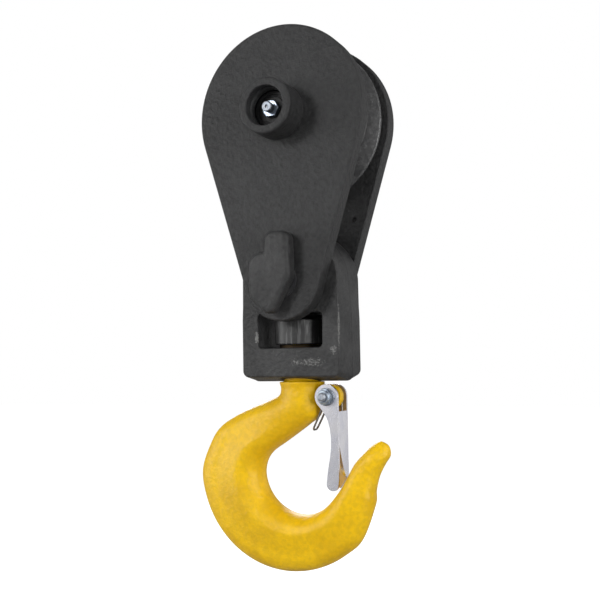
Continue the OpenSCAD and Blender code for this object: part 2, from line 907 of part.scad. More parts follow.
front_side_plate();
rear_side_plate();
centre_pin();
hub_collar();
collar_set_screw();
grease_nipple();
nipple_ball();
front_hub_washer();
rear_hub_washer();
sheave();
sheave_bush();
bolt_washer();
handle_bolt();
bolt_spring_ring();
yoke();
thrust_washer();
hook();
hook_nut();
nut_lock_pin();
latch_bolt();
latch_washers();
latch_nut();
latch_spring();
latch();
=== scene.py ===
"""Looks of a single sheave block with a swivel hook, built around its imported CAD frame.

Lengths in this file are millimetres in the CAD's own frame: +Z up, +Y along the sheave's axis
towards the rear plate, +X towards the hook's tip. The mesh helpers turn them into metres.
"""

import json
import logging
import math
from collections.abc import Iterable, Sequence
from dataclasses import dataclass, field
from enum import Enum

import bmesh
import bpy
from mathutils import Matrix, Vector


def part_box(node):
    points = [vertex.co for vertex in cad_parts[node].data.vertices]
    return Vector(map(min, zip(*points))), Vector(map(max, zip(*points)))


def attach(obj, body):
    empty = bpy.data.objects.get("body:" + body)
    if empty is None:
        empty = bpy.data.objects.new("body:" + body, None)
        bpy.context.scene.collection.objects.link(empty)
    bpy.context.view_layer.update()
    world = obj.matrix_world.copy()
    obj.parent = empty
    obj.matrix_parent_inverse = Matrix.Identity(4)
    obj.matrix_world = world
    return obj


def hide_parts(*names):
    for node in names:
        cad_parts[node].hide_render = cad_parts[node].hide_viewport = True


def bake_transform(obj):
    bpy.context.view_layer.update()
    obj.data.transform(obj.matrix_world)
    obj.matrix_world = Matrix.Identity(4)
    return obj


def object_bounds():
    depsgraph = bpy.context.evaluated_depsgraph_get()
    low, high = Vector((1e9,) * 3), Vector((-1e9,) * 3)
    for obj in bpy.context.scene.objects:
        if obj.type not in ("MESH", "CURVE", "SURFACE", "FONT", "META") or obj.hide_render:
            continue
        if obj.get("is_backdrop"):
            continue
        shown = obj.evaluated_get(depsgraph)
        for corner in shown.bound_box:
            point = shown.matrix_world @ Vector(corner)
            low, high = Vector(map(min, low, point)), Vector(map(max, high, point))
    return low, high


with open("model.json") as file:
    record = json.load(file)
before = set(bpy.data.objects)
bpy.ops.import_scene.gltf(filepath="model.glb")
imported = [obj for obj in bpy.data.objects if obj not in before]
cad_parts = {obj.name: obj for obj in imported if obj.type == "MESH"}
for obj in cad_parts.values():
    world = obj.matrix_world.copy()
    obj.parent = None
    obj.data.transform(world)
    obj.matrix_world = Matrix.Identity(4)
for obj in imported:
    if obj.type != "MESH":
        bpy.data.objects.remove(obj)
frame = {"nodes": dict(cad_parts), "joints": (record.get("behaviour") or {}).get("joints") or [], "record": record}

MM = 0.001
LOG = logging.getLogger("sheave_block")
HEX_FACE_SHARE = 0.96
HEX_CHAMFER_SLOPE = 0.5
NUMBER = "NodeSocketFloat"
VECTOR = "NodeSocketVector"

Point = tuple[float, float]
Colour = tuple[float, float, float]


# ------------------------------------------------------------------ Frame values


@dataclass(frozen=True)
class Extent:
    """The box of a CAD node, in millimetres."""

    lo: Vector
    hi: Vector

    @classmethod
    def of(cls, node: str) -> "Extent":
        """Reads the box of one CAD node.

        Args:
            node: Name of the node.

        Returns:
            Its box in millimetres.
        """
        lo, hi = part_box(node)
        return cls(lo / MM, hi / MM)

    @property
    def middle(self) -> Vector:
        """Centre of the box."""
        return (self.lo + self.hi) / 2


def joint_place(name: str) -> Vector:
    """Finds where a hinge stands.

    Args:
        name: Name of the joint in the record.

    Returns:
        A point on its axis, in millimetres.
    """
    joint = next(j for j in frame["joints"] if j["name"] == name)
    return Vector(joint["pos_m"]) / MM


# ------------------------------------------------------------------ Mesh helpers


class Spin(Enum):
    """The axis that a turned piece is spun about."""

    Y = (0, 2, 1)
    Z = (0, 1, 2)


class Join(Enum):
    """How one closed body is put together with another."""

    CUT = "DIFFERENCE"
    FUSE = "UNION"
    KEEP_COMMON = "INTERSECT"


def arc(centre: Point, radius: float, start: float, end: float, steps: int) -> list[Point]:
    """Lays points along a round.

    Args:
        centre: Centre of the round.
        radius: Its radius.
        start: First direction in degrees.
        end: Last direction in degrees.
        steps: Number of chords.

    Returns:
        The points from start to end, both included.
    """
    angles = (math.radians(start + (end - start) * k / steps) for k in range(steps + 1))
    return [(centre[0] + radius * math.cos(a), centre[1] + radius * math.sin(a)) for a in angles]


def new_object(name: str, bm: bmesh.types.BMesh) -> bpy.types.Object:
    """Turns a bmesh in millimetres into an object in metres.

    Args:
        name: Name of the piece.
        bm: The mesh, which is freed.

    Returns:
        The new object, at the origin and in the scene.
    """
    bmesh.ops.recalc_face_normals(bm, faces=bm.faces)
    bmesh.ops.scale(bm, vec=(MM, MM, MM), verts=bm.verts)
    mesh = bpy.data.meshes.new(name)
    bm.to_mesh(mesh)
    bm.free()
    obj = bpy.data.objects.new(name, mesh)
    bpy.context.scene.collection.objects.link(obj)
    return obj


def skin(name: str, rings: Sequence[Sequence[Vector]]) -> bpy.types.Object:
    """Stretches a skin over rings that have the same number of points, and caps both ends.

    Args:
        name: Name of the piece.
        rings: The rings in order.

    Returns:
        The closed body.
    """
    bm = bmesh.new()
    rows = [[bm.verts.new(p) for p in ring] for ring in rings]
    count = len(rows[0])
    for a, b in zip(rows, rows[1:]):
        for k in range(count):
            n = (k + 1) % count
            bm.faces.new((a[k], a[n], b[n], b[k]))
    bm.faces.new(rows[0][::-1])
    bm.faces.new(rows[-1])
    return new_object(name, bm)


def turned(
    name: str,
    outline: Sequence[Point],
    spin: Spin = Spin.Y,
    centre: Sequence[float] = (0, 0, 0),
    sides: int = 144,
) -> bpy.types.Object:
    """Turns an outline of radius and height about an axis, as on a lathe.

    Args:
        name: Name of the piece.
        outline: Points of radius and height. It starts and ends on the axis, or it is a closed ring.
        spin: The axis.
        centre: Where the axis stands.
        sides: Number of flats round the piece.

    Returns:
        The closed body.
    """
    across, along, up = spin.value
    bm = bmesh.new()

    def vert(radius: float, height: float, angle: float) -> bmesh.types.BMVert:
        """Puts one point round the axis.

        Args:
            radius: Distance from the axis.
            height: Place along the axis.
            angle: Direction in radians.

        Returns:
            The new vertex.
        """
        place = [0.0, 0.0, 0.0]
        place[across] = radius * math.cos(angle)
        place[along] = radius * math.sin(angle)
        place[up] = height
        return bm.verts.new(Vector(place) + Vector(centre))

    rows = []
    for radius, height in outline:
        if radius < 1e-6:
            rows.append([vert(0, height, 0)])
        else:
            rows.append([vert(radius, height, math.tau * k / sides) for k in range(sides)])
    pairs = list(zip(rows, rows[1:]))
    if len(rows[0]) > 1 and len(rows[-1]) > 1:
        pairs.append((rows[-1], rows[0]))
    for a, b in pairs:
        for k in range(sides):
            n = (k + 1) % sides
            corners = [a[k % len(a)], a[n % len(a)], b[n % len(b)], b[k % len(b)]]
            bm.faces.new(list(dict.fromkeys(corners)))
    return new_object(name, bm)


def prism(name: str, outline: Sequence[Point], y0: float, y1: float) -> bpy.types.Object:
    """Stretches an outline in X and Z along Y.

    Args:
        name: Name of the piece.
        outline: Its points.
        y0: Front end.
        y1: Rear end.

    Returns:
        The closed body.
    """
    return skin(name, [[Vector((x, y, z)) for x, z in outline] for y in (y0, y1)])


def rod(name: str, radius: float, a: Sequence[float], b: Sequence[float],
        sides: int = 64) -> bpy.types.Object:
    """Makes a plain round rod.

    Args:
        name: Name of the piece.
        radius: Its radius.
        a: Centre of one end.
        b: Centre of the other end.
        sides: Number of flats.

    Returns:
        The closed body.
    """
    start, end = Vector(a), Vector(b)
    turn = (end - start).to_track_quat("Z", "Y")
    rings = []
    for place in (start, end):
        ring = [Vector((radius * math.cos(t), radius * math.sin(t), 0))
                for t in (math.tau * k / sides for k in range(sides))]
        rings.append([place + turn @ p for p in ring])
    return skin(name, rings)


def hull(name: str, points: Iterable[Sequence[float]]) -> bpy.types.Object:
    """Wraps points in their convex hull.

    Args:
        name: Name of the piece.
        points: The points.

    Returns:
        The closed body.
    """
    bm = bmesh.new()
    for p in points:
        bm.verts.new(p)
    made = bmesh.ops.convex_hull(bm, input=bm.verts)
    loose = {v for v in made["geom_interior"] + made["geom_unused"] if isinstance(v, bmesh.types.BMVert)}
    bmesh.ops.delete(bm, geom=list(loose), context="VERTS")
    return new_object(name, bm)


def settle(obj: bpy.types.Object) -> bpy.types.Object:
    """Applies the object's modifiers to its mesh.

    Args:
        obj: The object.

    Returns:
        The same object with a plain mesh.
    """
    graph = bpy.context.evaluated_depsgraph_get()
    graph.update()
    mesh = bpy.data.meshes.new_from_object(obj.evaluated_get(graph), depsgraph=graph)
    obj.modifiers.clear()
    old = obj.data
    obj.data = mesh
    bpy.data.meshes.remove(old)
    return obj


def join(body: bpy.types.Object, tool: bpy.types.Object, how: Join) -> bpy.types.Object:
    """Cuts a body with a tool, or fuses the two, and uses the tool up.

    Args:
        body: The body.
        tool: The tool.
        how: What is done with it.

    Returns:
        The body.
    """
    step = body.modifiers.new("join", "BOOLEAN")
    step.operation = how.value
    step.solver = "EXACT"
    step.object = tool
    settle(body)
    bpy.data.objects.remove(tool)
    return body


def bore(body: bpy.types.Object, radius: float, a: Sequence[float], b: Sequence[float],
         sides: int = 64) -> bpy.types.Object:
    """Cuts a round hole between two points.

    Args:
        body: The body.
        radius: Radius of the hole.
        a: Centre of one end.
        b: Centre of the other end.
        sides: Number of flats round the hole.

    Returns:
        The body.
    """
    return join(body, rod("bore", radius, a, b, sides), Join.CUT)


def round_edges(obj: bpy.types.Object, width: float, angle: float = 35, steps: int = 3) -> bpy.types.Object:
    """Rounds every edge that is sharper than an angle, and shades the faces to suit.

    Args:
        obj: The piece.
        width: Width of the round in millimetres.
        angle: Edges that turn by more than this many degrees are rounded.
        steps: Number of faces across the round.

    Returns:
        The piece.
    """
    bm = bmesh.new()
    bm.from_mesh(obj.data)
    bmesh.ops.remove_doubles(bm, verts=bm.verts, dist=1e-6)
    bmesh.ops.dissolve_limit(bm, angle_limit=math.radians(0.3), verts=bm.verts, edges=bm.edges)
    bm.to_mesh(obj.data)
    bm.free()
    bevel = obj.modifiers.new("bevel", "BEVEL")
    bevel.width = width * MM
    bevel.segments = steps
    bevel.limit_method = "ANGLE"
    bevel.angle_limit = math.radians(angle)
    bevel.miter_outer = "MITER_ARC"
    settle(obj)
    return shade(obj, 50)


def shade(obj: bpy.types.Object, angle: float = 32) -> bpy.types.Object:
    """Shades a piece smooth except at sharp edges, with flat faces kept flat.

    Args:
        obj: The piece.
        angle: Edges that turn by more than this many degrees stay sharp.

    Returns:
        The piece.
    """
    obj.data.shade_smooth()
    obj.data.set_sharp_from_angle(angle=math.radians(angle))
    weigh = obj.modifiers.new("weigh", "WEIGHTED_NORMAL")
    weigh.keep_sharp = True
    weigh.weight = 80
    return settle(obj)


def cast(obj: bpy.types.Object, voxel: float, passes: int) -> bpy.types.Object:
    """Melts overlapping bodies into one skin with soft edges and fillets, like a casting.

    Args:
        obj: The piece.
        voxel: Size of the new faces in millimetres.
        passes: Number of smoothing passes.

    Returns:
        The piece.
    """
    melt = obj.modifiers.new("melt", "REMESH")
    melt.mode = "VOXEL"
    melt.voxel_size = voxel * MM
    melt.adaptivity = 0
    if passes:
        soft = obj.modifiers.new("soft", "SMOOTH")
        soft.factor = 0.5
        soft.iterations = passes
    settle(obj)
    obj.data.shade_smooth()
    return obj


def merge(name: str, parts: Sequence[bpy.types.Object]) -> bpy.types.Object:
    """Puts several bodies into one object without cutting them.

    Args:
        name: Name of the new piece.
        parts: The bodies, which are used up.

    Returns:
        The new piece.
    """
    bm = bmesh.new()
    for part in parts:
        bm.from_mesh(part.data)
    mesh = bpy.data.meshes.new(name)
    bm.to_mesh(mesh)
    bm.free()
    for part in parts:
        bpy.data.objects.remove(part)
    obj = bpy.data.objects.new(name, mesh)
    bpy.context.scene.collection.objects.link(obj)
    return obj


def offset(outline: Sequence[Point], inset: float) -> list[Point]:
    """Moves a closed outline inwards by the same distance everywhere.

    Args:
        outline: Its points, anticlockwise.
        inset: The distance, negative for outwards.

    Returns:
        The moved points, one for each given.
    """
    moved = []
    count = len(outline)
    for k, (x, z) in enumerate(outline):
        before, after = outline[k - 1], outline[(k + 1) % count]
        a = Vector((x - before[0], z - before[1])).normalized()
        b = Vector((after[0] - x, after[1] - z)).normalized()
        inward = Vector((-a.y - b.y, a.x + b.x)).normalized()
        lean = max(0.5, inward.dot(Vector((-b.y, b.x))))
        moved.append((x + inward.x * inset / lean, z + inward.y * inset / lean))
    return moved


def drafted(name: str, outline: Sequence[Point], rows: Sequence[Point]) -> bpy.types.Object:
    """Stretches an outline along Y, drawing it in at some places.

    Args:
        name: Name of the piece.
        outline: Points in X and Z, anticlockwise.
        rows: Pairs of inset and place along Y.

    Returns:
        The closed body.
    """
    return skin(name, [[Vector((x, y, z)) for x, z in offset(outline, inset)] for inset, y in rows])


def hexagon(name: str, flats: float, y0: float, y1: float, centre: Sequence[float],
            turn: float = 0) -> bpy.types.Object:
    """Makes a hexagon along Y with its corners turned off at both ends.

    Args:
        name: Name of the piece.
        flats: Width across the flats.
        y0: Front end.
        y1: Rear end.
        centre: Where its axis stands.
        turn: Turn about its axis in degrees.

    Returns:
        The closed body.
    """
    corner = flats / 2 / math.cos(math.radians(30))
    around = [(centre[0] + corner * math.cos(math.radians(60 * k + turn)),
               centre[2] + corner * math.sin(math.radians(60 * k + turn))) for k in range(6)]
    body = prism(name, around, y0, y1)
    face = flats / 2 * HEX_FACE_SHARE
    wide = corner + 1
    fall = (corner - face) * HEX_CHAMFER_SLOPE + 0.5
    outline = [(0, y0), (face, y0), (wide, y0 + fall), (wide, y1 - fall), (face, y1), (0, y1)]
    blank = turned("blank", outline, centre=(centre[0], 0, centre[2]), sides=72)
    return join(body, blank, Join.KEEP_COMMON)


# ------------------------------------------------------------------ Node trees


class Tree:
    """A short way to build a node tree."""

    def __init__(self, tree: bpy.types.NodeTree) -> None:
        """Keeps the tree that is built."""
        self.tree = tree

    def add(self, kind: str, values: dict[str | int, object] | None = None,
            **settings: object) -> bpy.types.Node:
        """Adds a node.

        Args:
            kind: The node's type.
            values: Input sockets, by name or number, and what each holds or is linked from.
            settings: The node's own settings.

        Returns:
            The node.
        """
        node = self.tree.nodes.new(kind)
        for key, value in settings.items():
            setattr(node, key, value)
        for key, value in (values or {}).items():
            if isinstance(value, bpy.types.NodeSocket):
                self.link(value, node.inputs[key])
            else:
                node.inputs[key].default_value = value
        return node

    def link(self, source: bpy.types.NodeSocket, target: bpy.types.NodeSocket) -> None:
        """Links an output to an input."""
        self.tree.links.new(source, target)

    def maths(self, operation: str, *values: object, clamp: bool = False) -> bpy.types.NodeSocket:
        """Adds one step of arithmetic and returns its result."""
        node = self.add("ShaderNodeMath", dict(enumerate(values)), operation=operation, use_clamp=clamp)
        return node.outputs[0]

    def blend(self, share: object, a: object, b: object) -> bpy.types.NodeSocket:
        """Mixes two colours and returns the mix."""
        node = self.add("ShaderNodeMix", {0: share, 6: a, 7: b}, data_type="RGBA")
        return node.outputs[2]

    def ramp(self, value: object, low: object, high: object) -> bpy.types.NodeSocket:
        """Stretches a value so that low becomes 0 and high becomes 1."""
        node = self.add("ShaderNodeMapRange", {0: value, 1: low, 2: high}, interpolation_type="SMOOTHSTEP")
        return node.outputs[0]


def shader_group(name: str, inputs: dict[str, tuple[str, object]],
                 outputs: dict[str, str]) -> tuple[Tree, bpy.types.Node, bpy.types.Node]:
    """Starts a shader node group.

    Args:
        name: Name of the group.
        inputs: For each input its socket type and its usual value.
        outputs: For each output its socket type.

    Returns:
        The tree, its input node and its output node.
    """
    group = bpy.data.node_groups.new(name, "ShaderNodeTree")
    for key, (kind, value) in inputs.items():
        group.interface.new_socket(key, in_out="INPUT", socket_type=kind).default_value = value
    for key, kind in outputs.items():
        group.interface.new_socket(key, in_out="OUTPUT", socket_type=kind)
    tree = Tree(group)
    return tree, tree.add("NodeGroupInput"), tree.add("NodeGroupOutput")


class Effects:
    """The surface effects that several finishes share."""

    def __init__(self) -> None:
        """Builds each group once."""
        self.relief = self._relief()
        self.cloud = self._cloud()
        self.wear_and_highlight = self._wear_and_highlight()
        self.streaks = self._streaks()

    @staticmethod
    def _relief() -> bpy.types.NodeTree:
        """Orange peel with a finer grain on it.

        Returns:
            The group, whose Height goes into a Bump node.
        """
        tree, given, out = shader_group(
            "orange_peel",
            {"Peel Scale": (NUMBER, 500.0), "Grain Scale": (NUMBER, 2500.0), "Grain Share": (NUMBER, 0.3)},
            {"Height": NUMBER},
        )
        place = tree.add("ShaderNodeTexCoord").outputs["Object"]
        peel = tree.add("ShaderNodeTexNoise", {"Vector": place, "Scale": given.outputs[0], "Detail": 2.0})
        grain = tree.add("ShaderNodeTexNoise", {"Vector": place, "Scale": given.outputs[1], "Detail": 3.0})
        fine = tree.maths("MULTIPLY", grain.outputs[0], given.outputs[2])
        tree.link(tree.maths("ADD", peel.outputs[0], fine), out.inputs[0])
        return tree.tree

    @staticmethod
    def _cloud() -> bpy.types.NodeTree:
        """Broad soft patches, from 0 to 1.

        Returns:
            The group.
        """
        tree, given, out = shader_group(
            "cloudy_patches",
            {"Scale": (NUMBER, 20.0), "Low": (NUMBER, 0.35), "High": (NUMBER, 0.65)},
            {"Mask": NUMBER},
        )
        place = tree.add("ShaderNodeTexCoord").outputs["Object"]
        noise = tree.add("ShaderNodeTexNoise", {"Vector": place, "Scale": given.outputs[0], "Detail": 4.0})
        tree.link(tree.ramp(noise.outputs[0], given.outputs[1], given.outputs[2]), out.inputs[0])
        return tree.tree

    @staticmethod
    def _wear_and_highlight() -> bpy.types.NodeTree:
        """A patch where the paint is drawn pale in flecks: rubbed-off paint, and also painted highlights.

        Returns:
            The group, whose Mask is 1 where the paint is drawn pale.
        """
        tree, given, out = shader_group(
            "rubbed_and_highlight_patch",
            {"Centre": (VECTOR, (0, 0, 0)), "Reach": (VECTOR, (0.01, 0.01, 0.01)),
             "Fleck Scale": (NUMBER, 900.0), "Amount": (NUMBER, 0.5)},
            {"Mask": NUMBER},
        )
        place = tree.add("ShaderNodeTexCoord").outputs["Object"]
        step = "ShaderNodeVectorMath"
        apart = tree.add(step, {0: place, 1: given.outputs["Centre"]}, operation="SUBTRACT")
        share = tree.add(step, {0: apart.outputs[0], 1: given.outputs["Reach"]}, operation="DIVIDE")
        length = tree.add(step, {0: share.outputs[0]}, operation="LENGTH")
        near = tree.ramp(length.outputs["Value"], 1.0, 0.2)
        fleck = tree.add("ShaderNodeTexNoise", {"Vector": place, "Scale": given.outputs["Fleck Scale"],
                                                "Detail": 5.0, "Roughness": 0.7})
        limit = tree.maths("SUBTRACT", 0.86, tree.maths("MULTIPLY", near, given.outputs["Amount"]))
        rubbed = tree.ramp(tree.maths("SUBTRACT", fleck.outputs[0], limit), 0.0, 0.12)
        tree.link(tree.maths("MULTIPLY", rubbed, tree.ramp(near, 0.0, 0.3)), out.inputs[0])
        return tree.tree

    @staticmethod
    def _streaks() -> bpy.types.NodeTree:
        """Marks drawn out along one direction.

        Returns:
            The group.
        """
        tree, given, out = shader_group(
            "drawn_marks",
            {"Stretch": (VECTOR, (900.0, 900.0, 60.0)), "Detail": (NUMBER, 3.0)},
            {"Value": NUMBER},
        )
        place = tree.add("ShaderNodeTexCoord").outputs["Object"]
        scaled = tree.add("ShaderNodeVectorMath", {0: place, 1: given.outputs[0]}, operation="MULTIPLY")
        noise = tree.add("ShaderNodeTexNoise", {"Vector": scaled.outputs[0], "Scale": 1.0,
                                                "Detail": given.outputs[1]})
        tree.link(noise.outputs[0], out.inputs[0])
        return tree.tree


def blank_material(name: str) -> tuple[bpy.types.Material, Tree, bpy.types.Node]:
    """Starts a material with one Principled shader.

    Args:
        name: Name of the material.

    Returns:
        The material, its tree and the shader.
    """
    material = bpy.data.materials.new(name)
    material.use_nodes = True
    material.node_tree.nodes.clear()
    tree = Tree(material.node_tree)
    shader = tree.add("ShaderNodeBsdfPrincipled")
    tree.add("ShaderNodeOutputMaterial", {0: shader.outputs[0]})
    return material, tree, shader


def roughen(tree: Tree, shader: bpy.types.Node, relief: bpy.types.NodeSocket, rough: float,
            spread: float, height: float) -> None:
    """Lets one relief drive both the roughness and the bumps of a shader.

    Args:
        tree: The material's tree.
        shader: Its shader.
        relief: The relief, from 0 to 1.
        rough: Roughness where the relief is half.
        spread: How much the roughness changes over the whole relief.
        height: Height of the bumps in millimetres.
    """
    varied = tree.maths("MULTIPLY_ADD", relief, spread, rough - spread / 2)
    tree.link(varied, shader.inputs["Roughness"])
    bump = tree.add("ShaderNodeBump", {"Height": relief})
    bump.inputs["Distance"].default_value = height * MM
    tree.link(bump.outputs[0], shader.inputs["Normal"])


@dataclass(frozen=True)
class RubAndHighlight:
    """A place, in millimetres, where paint is rubbed off, or where a pale streak is laid as a painted highlight:
    its centre, its reach and how much is gone.
    """

    centre: tuple[float, float, float]
    reach: tuple[float, float, float]
    amount: float = 0.42


@dataclass(frozen=True)
class Paint:
    """Paint sprayed over steel, with orange peel, soft patches, rubbed places and painted highlights."""

    name: str
    colour: Colour
    patch: Colour
    # Pale tone of rubbed paint, also used as the colour of painted highlights.
    worn_and_highlight: Colour
    rough: float
    rough_spread: float = 0.1
    peel_scale: float = 450.0
    peel_height: float = 0.1
    patch_scale: float = 25.0
    mottle: float = 0.25
    sheen: float = 0.3
    rubs_and_highlights: tuple[RubAndHighlight, ...] = ()

    def build(self, effects: Effects) -> bpy.types.Material:
        """Builds the material.

        Args:
            effects: The shared groups.

        Returns:
            The material.
        """
        material, tree, shader = blank_material(self.name)
        cloud = tree.add("ShaderNodeGroup", node_tree=effects.cloud)
        cloud.inputs["Scale"].default_value = self.patch_scale
        relief = tree.add("ShaderNodeGroup", node_tree=effects.relief)
        relief.inputs["Peel Scale"].default_value = self.peel_scale
        share = tree.maths("MULTIPLY", tree.ramp(relief.outputs[0], 0.45, 0.85), self.mottle)
        base = tree.blend(cloud.outputs[0], (*self.colour, 1), (*self.patch, 1))
        base = tree.blend(share, base, (*self.worn_and_highlight, 1))
        # Each patch draws the paint pale: rubbed-off paint, and painted highlights.
        for pale_spot in self.rubs_and_highlights:
            wear_and_highlight = tree.add("ShaderNodeGroup", node_tree=effects.wear_and_highlight)
            wear_and_highlight.inputs["Centre"].default_value = [v * MM for v in pale_spot.centre]
            wear_and_highlight.inputs["Reach"].default_value = [v * MM for v in pale_spot.reach]
            wear_and_highlight.inputs["Amount"].default_value = pale_spot.amount
            base = tree.blend(wear_and_highlight.outputs[0], base, (*self.worn_and_highlight, 1))
        tree.link(base, shader.inputs["Base Color"])
        roughen(tree, shader, relief.outputs[0], self.rough, self.rough_spread, self.peel_height)
        shader.inputs["Specular IOR Level"].default_value = self.sheen
        return material


@dataclass(frozen=True)
class Metal:
    """Bare or plated metal with drawn marks and cloudy tone."""

    name: str
    colour: Colour
    patch: Colour
    rough: float
    rough_spread: float = 0.15
    metallic: float = 1.0
    stretch: tuple[float, float, float] = (600.0, 600.0, 600.0)
    mark_height: float = 0.01
    patch_scale: float = 60.0
    streak: float = 0.0
    streak_colour: Colour = (0.5, 0.5, 0.5)

    def build(self, effects: Effects) -> bpy.types.Material:
        """Builds the material.

        Args:
            effects: The shared groups.

        Returns:
            The material.
        """
        material, tree, shader = blank_material(self.name)
        cloud = tree.add("ShaderNodeGroup", node_tree=effects.cloud)
        cloud.inputs["Scale"].default_value = self.patch_scale
        marks = tree.add("ShaderNodeGroup", node_tree=effects.streaks)
        marks.inputs["Stretch"].default_value = self.stretch
        colour = tree.blend(cloud.outputs[0], (*self.colour, 1), (*self.patch, 1))
        if self.streak:
            bright = tree.maths("MULTIPLY", tree.ramp(marks.outputs[0], 0.5, 0.68), self.streak)
            colour = tree.blend(bright, colour, (*self.streak_colour, 1))
        tree.link(colour, shader.inputs["Base Color"])
        roughen(tree, shader, marks.outputs[0], self.rough, self.rough_spread, self.mark_height)
        shader.inputs["Metallic"].default_value = self.metallic
        return material


class Finishes:
    """Every finish on the block, built once."""

    def __init__(self) -> None:
        """Builds the shared effects, then each material."""
        effects = Effects()
        self.plate_paint = Paint(
            "charcoal_paint", (0.0175, 0.0175, 0.018), (0.022, 0.022, 0.0225), (0.06, 0.06, 0.06), 0.46,
            peel_scale=300, peel_height=1.1, sheen=0.34,
        ).build(effects)
        self.forging_paint = Paint(
            "charcoal_paint_on_forging", (0.019, 0.019, 0.0195), (0.035, 0.035, 0.0355),
            (0.17, 0.17, 0.165), 0.46,
            peel_scale=240, peel_height=0.9, patch_scale=35, mottle=0.08, sheen=0.32,
            # The first patch, a thin streak down the yoke's front right edge, is a painted highlight; the other
            # four are rubbed paint.
            rubs_and_highlights=(RubAndHighlight((48, -25, -190), (3.0, 3.4, 50), 0.46), RubAndHighlight((-33, -25, -199), (4, 4, 13), 0.5),
                  RubAndHighlight((22, -25, -222), (26, 5, 9), 0.4), RubAndHighlight((6, -25, -222), (14, 5, 8), 0.38),
                  RubAndHighlight((42, -25, -212), (8, 4, 10), 0.42)),
        ).build(effects)
        self.sheave_paint = Paint(
            "charcoal_gloss_on_sheave", (0.03, 0.03, 0.031), (0.045, 0.045, 0.046), (0.12, 0.12, 0.12), 0.24,
            rough_spread=0.16, peel_scale=200, peel_height=0.5, sheen=0.9,
        ).build(effects)
        self.hook_paint = Paint(
            "yellow_enamel", (0.93, 0.57, 0.0), (0.8, 0.47, 0.0), (0.58, 0.34, 0.003), 0.33,
            rough_spread=0.16, peel_scale=260, peel_height=0.6, patch_scale=30, mottle=0.35, sheen=0.35,
        ).build(effects)
        self.dull_zinc = Metal(
            "dull_zinc", (0.4, 0.42, 0.45), (0.26, 0.29, 0.34), 0.5, rough_spread=0.1,
            stretch=(500, 500, 500), mark_height=0.003, patch_scale=300,
        ).build(effects)
        # Zinc tinted yellow-orange as a painted reflection of the yellow hook, for the inner faces of the latch's
        # sides.
        self.zinc_with_painted_hook_reflection = Metal(
            "zinc_with_painted_hook_reflection", (0.62, 0.4, 0.13), (0.42, 0.29, 0.14), 0.45, metallic=0.55, rough_spread=0.1,
            stretch=(300, 300, 90), mark_height=0.004, patch_scale=60,
        ).build(effects)
        self.zinc = Metal(
            "bright_zinc", (0.86, 0.85, 0.89), (0.76, 0.76, 0.83), 0.26, rough_spread=0.12,
            stretch=(500, 500, 160), mark_height=0.003, patch_scale=70,
        ).build(effects)
        self.blue_zinc = Metal(
            "blue_zinc", (0.34, 0.4, 0.5), (0.48, 0.55, 0.62), 0.44, patch_scale=300, mark_height=0.004,
        ).build(effects)
        self.ground_steel = Metal(
            "ground_steel", (0.42, 0.42, 0.43), (0.5, 0.5, 0.51), 0.35, stretch=(900, 900, 900),
        ).build(effects)
        self.black_steel = Metal(
            "black_oxide_steel", (0.09, 0.09, 0.095), (0.12, 0.12, 0.12), 0.45, metallic=0.8,
        ).build(effects)
        self.worn_nut = Metal(
            "worn_dark_nut", (0.025, 0.025, 0.025), (0.04, 0.04, 0.04), 0.45, metallic=0.4,
            stretch=(420, 420, 45), mark_height=0.05, streak=0.4, streak_colour=(0.2, 0.2, 0.2),
        ).build(effects)
        self.spring_steel = Metal(
            "spring_wire", (0.3, 0.28, 0.25), (0.2, 0.19, 0.18), 0.35, patch_scale=200,
        ).build(effects)
        # Bronze darkened almost to black as painted shade: the thrust washer under the hook nut lies in shadow.
        self.bronze = Metal(
            "bronze_painted_dark_for_shade", (0.05, 0.034, 0.018), (0.03, 0.022, 0.014), 0.6, stretch=(800, 800, 800),
        ).build(effects)


def dress(obj: bpy.types.Object, material: bpy.types.Material) -> bpy.types.Object:
    """Gives a piece one material.

    Args:
        obj: The piece.
        material: Its only material.

    Returns:
        The piece.
    """
    obj.data.materials.clear()
    obj.data.materials.append(material)
    return obj


def fit(obj: bpy.types.Object, material: bpy.types.Material, body: str, slot: str,
        *nodes: str) -> bpy.types.Object:
    """Dresses a finished piece and puts it on its body.

    Args:
        obj: The piece.
        material: Its material.
        body: The CAD body that it rides on.
        slot: The record's material slot; not used.
        nodes: The CAD nodes that it stands for.

    Returns:
        The piece.
    """
    dress(obj, material)
    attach(obj, body)
    if nodes:
        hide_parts(*nodes)
    LOG.info("%s rides on %s with %d faces", obj.name, body, len(obj.data.polygons))
    return obj


# ------------------------------------------------------------------ Side plates


